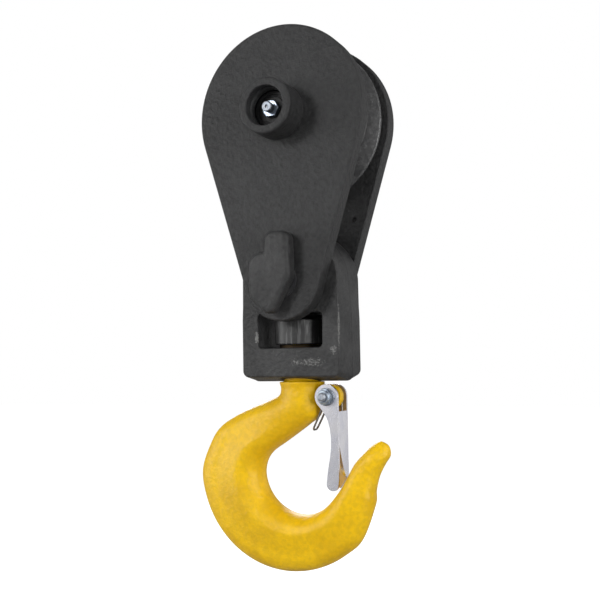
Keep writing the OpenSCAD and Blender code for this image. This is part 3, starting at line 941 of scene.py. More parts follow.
@dataclass
class SidePlates:
    """The two teardrop side plates with rounded edges."""

    outer_edge: float = 2.3
    inner_edge: float = 1.2
    pin_hole_r: float = 19.08
    bolt_hole_r: float = 12.58
    round_steps: int = 5

    def outline(self, top_r: float, foot_r: float, drop: float) -> list[Point]:
        """Draws the teardrop.

        Args:
            top_r: Radius of the round top.
            foot_r: Radius of the round foot.
            drop: Distance between the two centres.

        Returns:
            Points in X and Z, anticlockwise.
        """
        lean = math.degrees(math.asin((top_r - foot_r) / drop))
        top = arc((0, 0), top_r, -lean, 180 + lean, 120)
        foot = arc((0, -drop), foot_r, 180 + lean, 360 - lean, 60)
        return top + foot

    def build_one(self, node: str, outside: int, finishes: Finishes) -> bpy.types.Object:
        """Builds one plate.

        Args:
            node: The CAD node.
            outside: -1 if the plate's outer face is its front, and 1 if it is its rear.
            finishes: The finishes.

        Returns:
            The plate.
        """
        box = Extent.of(node)
        bolt_z = joint_place("yoke_swing").z
        outline = self.outline(box.hi.x, bolt_z - box.lo.z, -bolt_z)
        outer_y = box.lo.y if outside < 0 else box.hi.y
        inner_y = box.hi.y if outside < 0 else box.lo.y
        outer, inner = self.outer_edge, self.inner_edge
        turns = [math.radians(90 * k / self.round_steps) for k in range(self.round_steps + 1)]
        rows = [(outer * (1 - math.sin(turn)), outer_y - outside * outer * (1 - math.cos(turn)))
                for turn in turns]
        rows += [(inner * (1 - math.cos(turn)), inner_y + outside * inner * (1 - math.sin(turn)))
                 for turn in turns]
        plate = drafted(node + "_shell", outline, rows)
        ends = (box.lo.y - 1, box.hi.y + 1)
        for radius, x, z in self.holes(node, bolt_z):
            plate = bore(plate, radius, (x, ends[0], z), (x, ends[1], z), 96)
        return fit(shade(plate), finishes.plate_paint, "frame", "block_paint", node)

    def holes(self, node: str, bolt_z: float) -> list[tuple[float, float, float]]:
        """Lists the holes of a plate as radius, x and z.

        Args:
            node: The plate's CAD node.
            bolt_z: Height of the bolt's axis.

        Returns:
            A row for each hole.
        """
        found = [(self.pin_hole_r, 0.0, 0.0), (self.bolt_hole_r, 0.0, bolt_z)]
        for mount in frame["record"]["mounts"]:
            if mount["name"] == "rear_plate_tapping" and node == "rear_side_plate":
                found.append((mount["dims"]["r_mm"], mount["pos_m"][0] / MM, mount["pos_m"][2] / MM))
        return found

    def build(self, finishes: Finishes) -> None:
        """Builds both plates."""
        self.build_one("front_side_plate", -1, finishes)
        self.build_one("rear_side_plate", 1, finishes)


# ------------------------------------------------------------------ Centre pin


@dataclass
class CentrePin:
    """The centre pin with its rear head, the collar on the front plate and the grease nipple."""

    body_r: float = 19.0
    tip_r: float = 17.6
    tip_gap: float = 0.1
    tip_edge: float = 1.4
    ring_inner: tuple[float, float] = (11.5, 12.0)
    ring_outer: tuple[float, float] = (13.4, 13.9)
    ring_depth: float = 0.8
    centre_mark_r: float = 8.0
    centre_mark_depth: float = 1.6
    stem_r: float = 4.5
    stem_len: float = 7.0
    stem_mouth: float = 0.6
    screw_hole_r: float = 3.05
    screw_hole_depth: float = 12.0
    head_edge: float = 2.0
    thread_pitch: float = 1.5
    thread_depth: float = 0.6
    thread_count: int = 5
    collar_edge: float = 2.6
    mouth_edge: float = 1.2
    nipple_flats: float = 14.0
    nipple_hex_h: float = 5.0
    nipple_neck_r: float = 3.2
    nipple_head_r: float = 4.8
    nipple_edge: float = 1.3

    def pin(self, finishes: Finishes) -> bpy.types.Object:
        """Turns the pin.

        Args:
            finishes: The finishes.

        Returns:
            The pin.
        """
        box = Extent.of("centre_pin")
        collar = Extent.of("hub_collar")
        tip_y, head_y = box.lo.y, box.hi.y
        head_r = box.hi.x
        seat_y = Extent.of("rear_side_plate").hi.y
        seat_front = collar.hi.y
        stem_r, mouth, groove_y = self.stem_r, self.stem_mouth, tip_y + self.ring_depth
        side_r, edge = self.tip_r - self.tip_gap, self.head_edge
        outline = [(0, tip_y + self.stem_len), (stem_r, tip_y + self.stem_len), (stem_r, tip_y + mouth),
                   (stem_r + mouth, tip_y)]
        outline += [(self.ring_inner[0], tip_y), (self.ring_inner[1], groove_y),
                    (self.ring_outer[0], groove_y), (self.ring_outer[1], tip_y)]
        outline += [(self.tip_r - self.tip_edge, tip_y), (side_r, tip_y + self.tip_edge)]
        outline += [(side_r, seat_front), (self.body_r, seat_front), (self.body_r, seat_y), (head_r, seat_y)]
        outline += arc((head_r - edge, head_y - edge), edge, 0, 90, 5)
        mark_y = head_y - self.centre_mark_depth
        outline += [(self.centre_mark_r, head_y), (self.centre_mark_r - 1.5, mark_y), (0, mark_y)]
        pin = shade(turned("centre_pin_turning", outline))
        return fit(pin, finishes.plate_paint, "frame", "pin_steel", "centre_pin")

    def collar(self, finishes: Finishes) -> bpy.types.Object:
        """Turns the collar and bores its set screw hole.

        Args:
            finishes: The finishes.

        Returns:
            The collar.
        """
        box = Extent.of("hub_collar")
        pin_tip = Extent.of("centre_pin").lo.y
        bore_r, r = self.tip_r, box.hi.x
        front, back = box.lo.y, box.hi.y
        edge, mouth = self.collar_edge, self.mouth_edge
        outline = [(bore_r, back), (r, back)]
        outline += arc((r - edge, front + edge), edge, 0, -90, 6)
        outline += arc((bore_r + mouth, front + mouth), mouth, 270, 180, 4)
        crest_y = pin_tip - 1 - self.thread_pitch * self.thread_count
        for k in range(self.thread_count):
            y = crest_y + k * self.thread_pitch
            outline += [(bore_r, y), (bore_r - self.thread_depth, y + self.thread_pitch / 2)]
        outline.append((bore_r, crest_y + self.thread_count * self.thread_pitch))
        body = turned("hub_collar_turning", outline)
        screw = Extent.of("collar_set_screw").middle
        out = Vector((-1, 0, 1)).normalized()
        start = Vector((0, screw.y, 0)) + out * (bore_r - 1)
        body = bore(body, self.screw_hole_r, start, start + out * self.screw_hole_depth)
        return fit(shade(body), finishes.plate_paint, "frame", "block_paint", "hub_collar")

    def nipple(self, finishes: Finishes) -> list[bpy.types.Object]:
        """Makes the grease nipple: its hexagon and its nose.

        Args:
            finishes: The finishes.

        Returns:
            The two pieces.
        """
        box = Extent.of("grease_nipple")
        tip = box.lo.y
        hex_front = Extent.of("centre_pin").lo.y - self.nipple_hex_h
        hex_back = hex_front + self.nipple_hex_h
        head, neck = self.nipple_head_r, self.nipple_neck_r
        outline = [(0, tip + 1.8), (1.1, tip + 1.6), (1.3, tip + 0.2)]
        outline += arc((1.7, tip + 0.4), 0.4, 180, 270, 3)
        outline += [(2.6, tip + 0.15), (2.9, tip)]
        edge = self.nipple_edge
        outline += arc((head - edge, tip + edge), edge, -90, 0, 5)
        outline += [(head, tip + 2.4), (neck + 0.4, tip + 3.6), (neck, tip + 4.2), (neck, hex_front - 1.2),
                    (neck + 1.2, hex_front + 0.2), (0, hex_front + 0.2)]
        nose = shade(turned("grease_nipple_nose", outline, sides=64), 60)
        fit(nose, finishes.dull_zinc, "frame", "zinc_plate", "grease_nipple")
        foot = hexagon("grease_nipple_hexagon", self.nipple_flats, hex_front, hex_back, (0, 0, 0))
        stem_r, stem_end = self.stem_r - 0.02, hex_back + self.stem_len
        stem = turned("stem", [(0, hex_back - 1), (stem_r, hex_back - 1), (stem_r, stem_end), (0, stem_end)],
                      sides=64)
        foot = round_edges(join(foot, stem, Join.FUSE), 0.25, steps=2)
        fit(foot, finishes.blue_zinc, "frame", "zinc_plate")
        return [nose, foot]

    def build(self, finishes: Finishes) -> None:
        """Builds the pin, the collar and the nipple.

        Args:
            finishes: The finishes.
        """
        self.pin(finishes)
        self.collar(finishes)
        self.nipple(finishes)


# ------------------------------------------------------------------ Sheave


@dataclass
class Sheave:
    """The grooved sheave."""

    groove_r: float = 11.5
    groove_depth: float = 20.0
    slope: float = 20.0
    rim_wall: float = 9.0
    web_t: float = 15.0
    hub_r: float = 31.0
    bore_r: float = 24.08
    lip: float = 1.4
    fillet: float = 5.0
    rim_half: float = 19.0

    def outline(self, rim_r: float, hub_half: float) -> list[Point]:
        """Draws the sheave's section.

        Args:
            rim_r: Outside radius.
            hub_half: Half the hub's width.

        Returns:
            Points of radius and place along the axis.
        """
        deep = rim_r - self.groove_depth
        centre = deep + self.groove_r
        slope = math.radians(self.slope)
        flank_r = centre - self.groove_r * math.sin(slope)
        flank_y = self.groove_r * math.cos(slope)
        mouth_y = flank_y + (rim_r - flank_r) * math.tan(slope)
        web, rim_in = self.web_t / 2, deep - self.rim_wall
        side = [(self.bore_r, hub_half), (self.hub_r - 1, hub_half), (self.hub_r, hub_half - 1),
                (self.hub_r, web + self.fillet)]
        side += arc((self.hub_r + self.fillet, web + self.fillet), self.fillet, 180, 270, 5)
        side += arc((rim_in - self.fillet, web + self.fillet), self.fillet, 270, 360, 5)
        side += arc((rim_in + self.fillet, self.rim_half - self.fillet), self.fillet, 180, 90, 5)
        side += arc((rim_r - self.lip, self.rim_half - self.lip), self.lip, 90, 0, 4)
        side += [(rim_r, mouth_y + 0.8), (rim_r - 0.8, mouth_y - 0.2), (flank_r, flank_y)]
        bottom = arc((centre, 0), self.groove_r, 90 + self.slope, 270 - self.slope, 24)
        half = side + bottom[: len(bottom) // 2 + 1]
        other = [(r, -y) for r, y in reversed(half[:-1])]
        return half + other

    def build(self, finishes: Finishes) -> None:
        """Turns the sheave.

        Args:
            finishes: The finishes.
        """
        box = Extent.of("sheave")
        body = turned("sheave_turning", self.outline(box.hi.x, box.hi.y), sides=192)
        fit(shade(body, 40), finishes.sheave_paint, "sheave", "block_paint", "sheave")


# ------------------------------------------------------------------ Handle bolt


@dataclass
class HandleBolt:
    """The bolt with its cast handle."""

    bolt_r: float = 12.5
    bevel: float = 2.0
    groove_depth: float = 1.4
    voxel: float = 0.8
    passes: int = 10
    lobes: tuple[tuple[float, float, float], ...] = (
        (8.0, -1.0, 34.5), (8.0, 7.0, 34.0), (13.3, 2.5, 5.0), (12.0, -13.0, 12.0), (12.0, -13.0, -9.0),
        (7.0, -6.0, -22.5),
    )
    ribs: tuple[float, ...] = (-1.5, 4.2, 10.5)
    rib_r: float = 2.3

    def lobe(self, index: int, front: float, back: float, axis: Vector) -> list[Vector]:
        """Gives the points round one lobe of the handle, drawn in at its front.

        Args:
            index: Which lobe.
            front: Place of the handle's front face.
            back: Place of its back face.
            axis: A point on the bolt's axis.

        Returns:
            The points.
        """
        radius, x, z = self.lobes[index]
        rows = [(radius, back), (radius, front + 3.4), (radius - 1.1, front + 1.1), (radius - 3.4, front)]
        return [Vector((axis.x + px, y, axis.z + pz))
                for r, y in rows for px, pz in arc((x, z), r, 0, 350, 35)]

    def build(self, finishes: Finishes) -> None:
        """Casts the handle and turns the bolt.

        Args:
            finishes: The finishes.
        """
        axis = joint_place("yoke_swing")
        box = Extent.of("handle_bolt")
        back = Extent.of("bolt_washer").lo.y
        front, end = box.lo.y, box.hi.y
        arm = hull("arm", [p for k in (0, 1, 2) for p in self.lobe(k, front, back, axis)])
        body = hull("body", [p for k in (2, 3, 4, 5) for p in self.lobe(k, front, back, axis)])
        ribs = [rod("rib", self.rib_r, (axis.x + x, front + self.rib_r - 0.7, axis.z + 39 - abs(x - 4) * 0.5),
                    (axis.x + x * 0.7, front + self.rib_r + 0.3, axis.z + 8)) for x in self.ribs]
        handle = cast(merge("bolt_handle_casting", [arm, body, *ribs]), self.voxel, self.passes)
        ring = Extent.of("bolt_spring_ring")
        r, low = self.bolt_r, self.bolt_r - self.groove_depth
        outline = [(0, back - 4), (r, back - 4), (r, ring.lo.y - 0.1), (low, ring.lo.y - 0.1),
                   (low, ring.hi.y + 0.1), (r, ring.hi.y + 0.1), (r, end - self.bevel),
                   (r - self.bevel, end), (0, end)]
        shank = turned("shank", outline, centre=(axis.x, 0, axis.z), sides=96)
        bolt = join(handle, shank, Join.FUSE)
        fit(shade(bolt, 45), finishes.forging_paint, "bolt", "block_paint", "handle_bolt")


# ------------------------------------------------------------------ Yoke


@dataclass
class Yoke:
    """The forged yoke, drafted to both sides of its parting line."""

    crown_r: float = 47.5
    shoulder_drop: float = 26.0
    corner: float = 6.0
    foot_draft: float = 4.0
    side_draft: float = 2.0
    edge: float = 1.6
    flash: float = 0.3
    window_w: float = 63.0
    window_h: float = 31.0
    crossbar: float = 30.0
    window_corner: float = 4.0
    mouth: float = 0.9
    bolt_hole_r: float = 12.58
    shank_hole_r: float = 16.08

    def outline(self, half: float, bolt_z: float, foot_z: float) -> list[Point]:
        """Draws the yoke from the front.

        Args:
            half: Half its width.
            bolt_z: Height of the bolt's axis.
            foot_z: Height of its foot.

        Returns:
            Points in X and Z, anticlockwise.
        """
        shoulder = bolt_z - self.shoulder_drop
        ease = [(half, shoulder - 8), (half - 0.2, shoulder - 2), (half - 0.5, shoulder + 5)]
        right = arc((half - self.corner, foot_z + self.corner), self.corner, 270, 360, 6) + ease
        crown = arc((0, bolt_z), self.crown_r, 4, 176, 72)
        left = [(-x, z) for x, z in reversed(right)]
        return right + crown + left

    def rounded_window(self, low: float, high: float) -> list[Point]:
        """Draws the window, anticlockwise.

        Args:
            low: Height of its bottom.
            high: Height of its top.

        Returns:
            Points in X and Z.
        """
        half, r = self.window_w / 2, self.window_corner
        return (arc((half - r, low + r), r, -90, 0, 6) + arc((half - r, high - r), r, 0, 90, 6)
                + arc((-half + r, high - r), r, 90, 180, 6) + arc((-half + r, low + r), r, 180, 270, 6))

    def rows(self, reach: float) -> list[Point]:
        """Lists insets and places along Y, from the front face to the rear one.

        Args:
            reach: Distance from the middle to a face.

        Returns:
            Pairs of inset and place along Y.
        """
        steps = 4
        front = []
        for k in range(steps + 1):
            turn = math.radians(90 * k / steps)
            front.append((self.edge * (1 - math.sin(turn)), -reach + self.edge * (1 - math.cos(turn))))
        front += [(0.0, -1.2), (-self.flash, -0.7)]
        return front + [(inset, -y) for inset, y in reversed(front)]

    def build(self, finishes: Finishes) -> None:
        """Forges the yoke, then cuts its window and bores its holes.

        Args:
            finishes: The finishes.
        """
        box = Extent.of("yoke")
        bolt_z = joint_place("yoke_swing").z
        reach = box.hi.y
        rings = []
        for inset, y in self.rows(reach):
            share = abs(y) / reach
            half, foot_z = box.hi.x - self.side_draft * share, box.lo.z + self.foot_draft * share
            shape = self.outline(half, bolt_z, foot_z)
            rings.append([Vector((x, y, z)) for x, z in offset(shape, inset)])
        body = skin("yoke_forging", rings)
        floor = box.lo.z + self.crossbar
        flare = [(-self.mouth - 0.6, -reach - 0.5), (-self.mouth, -reach), (-self.mouth * 0.3, -reach + 0.5),
                 (0.0, -reach + 1.6)]
        flare += [(inset, -y) for inset, y in reversed(flare)]
        window = drafted("window", self.rounded_window(floor, floor + self.window_h), flare)
        body = join(body, window, Join.CUT)
        body = bore(body, self.bolt_hole_r, (0, -reach - 1, bolt_z), (0, reach + 1, bolt_z), 96)
        body = bore(body, self.shank_hole_r, (0, 0, box.lo.z - 1), (0, 0, floor + 1), 96)
        fit(shade(body, 38), finishes.forging_paint, "yoke", "block_paint", "yoke")


# ------------------------------------------------------------------ Hook


@dataclass(frozen=True)
class Station:
    """One section of the hook: its inner and outer edge, its half thickness and its form.

    Thin says how much thinner the outer part is, and form goes from 0, round, to 1, a crane
    hook's wedge with a ridge near its inner edge.
    """

    inner: Point
    outer: Point
    half: float
    thin: float
    form: float

    def numbers(self) -> tuple[float, ...]:
        """Lists the values in order, so that stations can be blended."""
        return (*self.inner, *self.outer, self.half, self.thin, self.form)


def smooth_between(a: Sequence[float], b: Sequence[float], c: Sequence[float], d: Sequence[float],
                   t: float) -> list[float]:
    """Blends four neighbouring rows of numbers along a smooth curve.

    Args:
        a: The row before.
        b: The row where t is 0.
        c: The row where t is 1.
        d: The row after.
        t: Share of the way from b to c.

    Returns:
        The blended row.
    """
    return [0.5 * (2 * q + (r - p) * t + (2 * p - 5 * q + 4 * r - s) * t * t
                   + (3 * q - p - 3 * r + s) * t ** 3)
            for p, q, r, s in zip(a, b, c, d)]


@dataclass
class Hook:
    """The forged swivel hook with its shank and latch lug."""

    bowl_r: float = 38.0
    neck_r: float = 19.3
    neck_h: float = 11.0
    drop: float = 1.87
    back: Point = (-0.465, 0.019)
    back_r: float = 2.292
    swell: float = 0.15
    wide: float = 1.07
    close: float = 0.98
    ridge: float = 0.35
    shank_r: float = 16.0
    thread_r: float = 14.0
    ear_r: float = 11.0
    lug_t: float = 8.0
    latch_bolt_r: float = 4.0
    sides: int = 64
    steps: int = 6
    voxel: float = 1.0
    passes: int = 4
    regain: float = 0.5
    shoulder: tuple[tuple[float, ...], ...] = (
        (0.45, 1.39, -0.54, 1.85, 0.5, 0, 0),
        (0.15, 1.14, -0.85, 1.70, 0.5, 0.05, 0.1),
        (-0.18, 0.91, -1.33, 1.52, 0.5, 0.15, 0.4),
        (-0.51, 0.69, -1.79, 1.32, 0.5, 0.25, 0.75),
        (-0.82, 0.49, -2.20, 1.07, 0.51, 0.3, 1),
        (-1.00, 0.27, -2.48, 0.71, 0.51, 0.35, 1),
    )
    tip: tuple[tuple[float, ...], ...] = (
        (0.97, -0.38, 1.79, -0.67, 0.40, 0.2, 0.9),
        (1.17, -0.06, 1.81, -0.38, 0.36, 0.15, 0.7),
        (1.36, 0.26, 1.90, -0.03, 0.32, 0.1, 0.5),
        (1.59, 0.50, 2.06, 0.27, 0.27, 0, 0.2),
        (1.75, 0.65, 2.18, 0.44, 0.2, 0, 0),
        (1.91, 0.75, 2.19, 0.60, 0.1, 0, 0),
        (2.0, 0.78, 2.15, 0.70, 0.04, 0, 0),
    )

    def back_reach(self, angle: float) -> float:
        """Measures from the bowl's centre to the round back, in bowl radii.

        Args:
            angle: Direction from the centre.

        Returns:
            The distance.
        """
        x, z = self.back
        across = x * math.cos(angle) + z * math.sin(angle)
        return across + math.sqrt(across * across - (x * x + z * z - self.back_r ** 2))

    def stations(self, top: float) -> list[list[float]]:
        """Lists the hook's sections from its neck to its tip.

        Args:
            top: Height of the top of the neck.

        Returns:
            Rows of numbers in millimetres.
        """
        r = self.bowl_r
        bowl_z = top - self.neck_h - self.drop * r
        flare = self.neck_r + 1.6
        rows = [
            Station((flare, top), (-flare, top), flare, 0, 0),
            Station((flare - 0.4, top - 1.5), (-flare + 0.4, top - 1.5), flare - 0.4, 0, 0),
            Station((self.neck_r + 0.2, top - 5), (-self.neck_r - 0.2, top - 5), self.neck_r + 0.2, 0, 0),
            Station((self.neck_r, top - self.neck_h), (-self.neck_r, top - self.neck_h / 2),
                    self.neck_r, 0, 0),
        ]
        shares = list(self.shoulder)
        for degrees in range(180, 316, 15):
            a, along = math.radians(degrees), (degrees - 180) / 135
            reach = self.back_reach(a) + self.swell * along ** 2
            wide = self.close if degrees > 270 else self.wide
            shares.append((wide * math.cos(a), math.sin(a), reach * math.cos(a), reach * math.sin(a),
                           0.51 - 0.09 * along ** 2, 0.36 - 0.14 * along, 1))
        shares += list(self.tip)
        rows += [Station((s[0] * r, s[1] * r + bowl_z), (s[2] * r, s[3] * r + bowl_z), s[4] * r, s[5], s[6])
                 for s in shares]
        numbers = [row.numbers() for row in rows]
        last = len(numbers) - 1
        made = []
        for i in range(last):
            around = [numbers[max(i - 1, 0)], numbers[i], numbers[i + 1], numbers[min(i + 2, last)]]
            made += [smooth_between(*around, k / self.steps) for k in range(self.steps)]
        return made + [list(numbers[last])]

    def half_width(self, u: float, thin: float, form: float) -> float:
        """Measures the section's half width at one place between its edges.

        Args:
            u: From 1 at the inner edge to -1 at the outer edge.
            thin: How much thinner the outer part is.
            form: From 0, round, to 1, a wedge with a ridge.

        Returns:
            Share of the section's half thickness.
        """
        oval = math.sqrt(max(0.0, 1 - u * u)) * (1 - thin * (1 - u) / 2)
        if u > self.ridge:
            wedge = math.sqrt(max(0.0, 1 - ((u - self.ridge) / (1 - self.ridge)) ** 2))
        elif u > -self.ridge:
            wedge = 1 - thin * (self.ridge - u) / (2 * self.ridge)
        else:
            wedge = (1 - thin) * math.sqrt(max(0.0, 1 - ((-self.ridge - u) / (1 - self.ridge)) ** 2))
        return oval * (1 - form) + wedge * form

    def ring(self, s: Sequence[float], top: float) -> list[Vector]:
        """Lays the points round one section, a little full below the neck for what smoothing takes off.

        Args:
            s: The section's numbers.
            top: Height of the top of the neck.

        Returns:
            The points.
        """
        points = []
        if (s[1] + s[3]) / 2 < top - self.neck_h:
            share = self.regain / math.hypot(s[0] - s[2], s[1] - s[3])
            dx, dz = (s[0] - s[2]) * share, (s[1] - s[3]) * share
            s = [s[0] + dx, s[1] + dz, s[2] - dx, s[3] - dz, s[4] + self.regain, s[5], s[6]]
        for k in range(self.sides):
            angle = math.tau * k / self.sides
            u = math.cos(angle)
            form = min(1.0, max(0.0, s[6]))
            y = s[4] * self.half_width(u, s[5], form) * (1 if math.sin(angle) > 0 else -1)
            points.append(Vector(((s[0] + s[2]) / 2 + (s[0] - s[2]) / 2 * u, y,
                                  (s[1] + s[3]) / 2 + (s[1] - s[3]) / 2 * u)))
        return points

    def build(self, finishes: Finishes) -> None:
        """Forges the hook in one skin with its shank and its lug.

        Args:
            finishes: The finishes.
        """
        foot_z = Extent.of("yoke").lo.z
        nut = Extent.of("hook_nut")
        pivot = joint_place("latch_swing")
        top = foot_z - 0.6
        blade = skin("blade", [self.ring(s, top) for s in self.stations(top)])
        shank = turned("shank", [(0, top - 4), (self.shank_r, top - 4), (self.shank_r, nut.lo.z - 0.3),
                                 (self.thread_r - 0.1, nut.lo.z), (self.thread_r - 0.1, nut.hi.z - 1),
                                 (self.thread_r - 1.1, nut.hi.z), (0, nut.hi.z)], Spin.Z, sides=96)
        half = self.lug_t / 2
        eye = turned("eye", [(0, -half), (self.ear_r, -half), (self.ear_r, half), (0, half)],
                     centre=(pivot.x, 0, pivot.z), sides=96)
        web = prism("web", [(0, pivot.z - self.ear_r), (pivot.x, pivot.z - self.ear_r),
                            (pivot.x, pivot.z + self.ear_r), (0, pivot.z + self.ear_r)], -half, half)
        hook = cast(merge("hook_forging", [blade, shank, eye, web]), self.voxel, self.passes)
        ends = [(pivot.x, y, pivot.z) for y in (-self.lug_t, self.lug_t)]
        hook = bore(hook, self.latch_bolt_r, *ends, 48)
        fit(shade(hook, 50), finishes.hook_paint, "hook", "hook_paint", "hook")


@dataclass
class HookNut:
    """The round nut on the hook's shank."""

    bore_r: float = 14.0
    edge: float = 1.4
    pin_r: float = 2.5

    def build(self, finishes: Finishes) -> None:
        """Turns the nut and bores it for its lock pin.

        Args:
            finishes: The finishes.
        """
        box = Extent.of("hook_nut")
        low, high, r, e = box.lo.z, box.hi.z, box.hi.x, self.edge
        outline = [(self.bore_r, low)]
        outline += arc((r - e, low + e), e, -90, 0, 4) + arc((r - e, high - e), e, 0, 90, 4)
        outline += [(self.bore_r + 1, high), (self.bore_r, high - 1)]
        nut = turned("hook_nut_turning", outline, Spin.Z)
        middle = (low + high) / 2
        nut = bore(nut, self.pin_r, (-r - 1, 0, middle), (r + 1, 0, middle), 48)
        fit(shade(nut), finishes.worn_nut, "hook", "worn_steel", "hook_nut")


# ------------------------------------------------------------------ Latch


@dataclass
class Latch:
    """The pressed latch, a channel with two ears."""

    ear_r: float = 11.0
    sheet: float = 2.5
    foot_r: float = 6.0
    bend_r: float = 3.0
    pivot_r: float = 4.08
    back_top: float = 13.0
    heel_top: float = 7.0
    heel_x: float = 2.0
    slope_top: float = 33.0
    slope_fall: float = 29.0
    slope_steps: int = 12
    edge: float = 0.45

    def side(self, arm: float) -> list[Point]:
        """Draws the latch from the side, about its pivot.

        Args:
            arm: Distance from the pivot down to the centre of its round foot.

        Returns:
            Points in X and Z, anticlockwise.
        """
        r, foot = self.ear_r, self.foot_r
        foot_x = r - foot
        points = arc((0, 0), r, 0, 214, 40)
        points += [(-5.2, -10.6), (-1.6, -15.5), (1.2, -21), (3.0, -28)]
        points += [(3.9, -36), (3.9, -44), (2.6, -54), (0.6, -64)]
        points += arc((foot_x, -arm), foot, 183, 300, 16)
        points += [(foot_x + foot * 0.8, -arm - foot * 0.55), (r, -arm + 4)]
        return points

    def build(self, finishes: Finishes) -> None:
        """Presses the latch from its side view, hollows it and cuts the slope at its foot.

        Args:
            finishes: The finishes.
        """
        box = Extent.of("latch")
        pivot = joint_place("latch_swing")
        half = box.hi.y
        arm = pivot.z - box.lo.z - self.foot_r
        place = [(pivot.x + x, pivot.z + z) for x, z in self.side(arm)]
        body = prism("latch_pressing", place, -half, half)
        marked = body.data
        back_x = (pivot.x + self.ear_r) * MM
        weights = marked.attributes.new("bevel_weight_edge", "FLOAT", "EDGE")
        for edge in marked.edges:
            ends = [marked.vertices[v].co for v in edge.vertices]
            along_back = all(abs(p.x - back_x) < 1e-6 for p in ends) and abs(ends[0].y - ends[1].y) < 1e-6
            weights.data[edge.index].value = 1.0 if along_back else 0.0
        bend = body.modifiers.new("bend", "BEVEL")
        bend.limit_method = "WEIGHT"
        bend.width = self.bend_r * MM
        bend.segments = 6
        settle(body)
        inner = half - self.sheet
        hollow_x = pivot.x + self.ear_r - self.sheet
        top, low = pivot.z + self.ear_r + 2, box.lo.z - 2
        hollow = prism("hollow", [(pivot.x - 20, low), (hollow_x, low), (hollow_x, top), (pivot.x - 20, top)],
                       -inner, inner)
        body = join(body, hollow, Join.CUT)
        body = join(body, self.back_cut(pivot, inner, low, arm), Join.CUT)
        heel_x, heel_z = pivot.x + self.ear_r + 1, pivot.z - arm
        heel = prism("heel", [(heel_x, heel_z + self.heel_top), (pivot.x + self.heel_x, low), (heel_x, low)],
                     inner - 0.5, half + 1)
        body = join(body, heel, Join.CUT)
        crest_z = pivot.z - self.back_top
        crest = prism("crest", [(hollow_x - 1, crest_z), (hollow_x + 8, crest_z),
                                (hollow_x + 8, top), (hollow_x - 1, top)], -inner, inner)
        body = join(body, crest, Join.CUT)
        body = bore(body, self.pivot_r, (pivot.x, -half - 1, pivot.z), (pivot.x, half + 1, pivot.z))
        round_edges(body, self.edge, angle=40, steps=2)
        fit(body, finishes.zinc, "latch", "zinc_plate", "latch")
        # The inner faces of the latch's sides get the yellow-orange zinc: a painted reflection of the hook.
        body.data.materials.append(finishes.zinc_with_painted_hook_reflection)
        for face in body.data.polygons:
            spot = face.center / MM
            if abs(spot.y) < inner + 0.1 and spot.x < hollow_x - 0.1 and abs(face.normal.y) > 0.9:
                face.material_index = 1

    def back_cut(self, pivot: Vector, inner: float, low: float, arm: float) -> bpy.types.Object:
        """Makes the tool that ends the latch's back on a curved slope.

        Args:
            pivot: The latch's pivot.
            inner: Half the width between its two sides.
            low: Height below the latch.
            arm: Distance from the pivot to the centre of the foot.

        Returns:
            The tool.
        """
        x0, x1 = pivot.x + self.ear_r - self.sheet - 1, pivot.x + self.ear_r + 1
        foot_z = pivot.z - arm + self.slope_top
        shares = [k / self.slope_steps for k in range(self.slope_steps + 1)]
        outline = [(-inner + 2 * inner * t, foot_z - self.slope_fall * math.sin(math.pi / 2 * t))
                   for t in shares]
        outline += [(inner, low), (-inner, low)]
        return skin("slope", [[Vector((x, y, z)) for y, z in outline] for x in (x0, x1)])


# ------------------------------------------------------------------ Latch hardware


def set_input(modifier: bpy.types.NodesModifier, name: str, value: object) -> None:
    """Sets one input of a Geometry Nodes modifier.

    Args:
        modifier: The modifier.
        name: Name of the input.
        value: Its new value.
    """
    socket = next(s for s in modifier.node_group.interface.items_tree
                  if s.item_type == "SOCKET" and s.in_out == "INPUT" and s.name == name)
    modifier[socket.identifier] = value


def geometry_group(name: str, inputs: dict[str, str]) -> Tree:
    """Starts a Geometry Nodes group with a geometry going in and one coming out.

    Args:
        name: Name of the group.
        inputs: For each further input its socket type.

    Returns:
        Its tree.
    """
    group = bpy.data.node_groups.new(name, "GeometryNodeTree")
    for key, kind in {"Geometry": "NodeSocketGeometry", **inputs}.items():
        group.interface.new_socket(key, in_out="INPUT", socket_type=kind)
    group.interface.new_socket("Geometry", in_out="OUTPUT", socket_type="NodeSocketGeometry")
    return Tree(group)


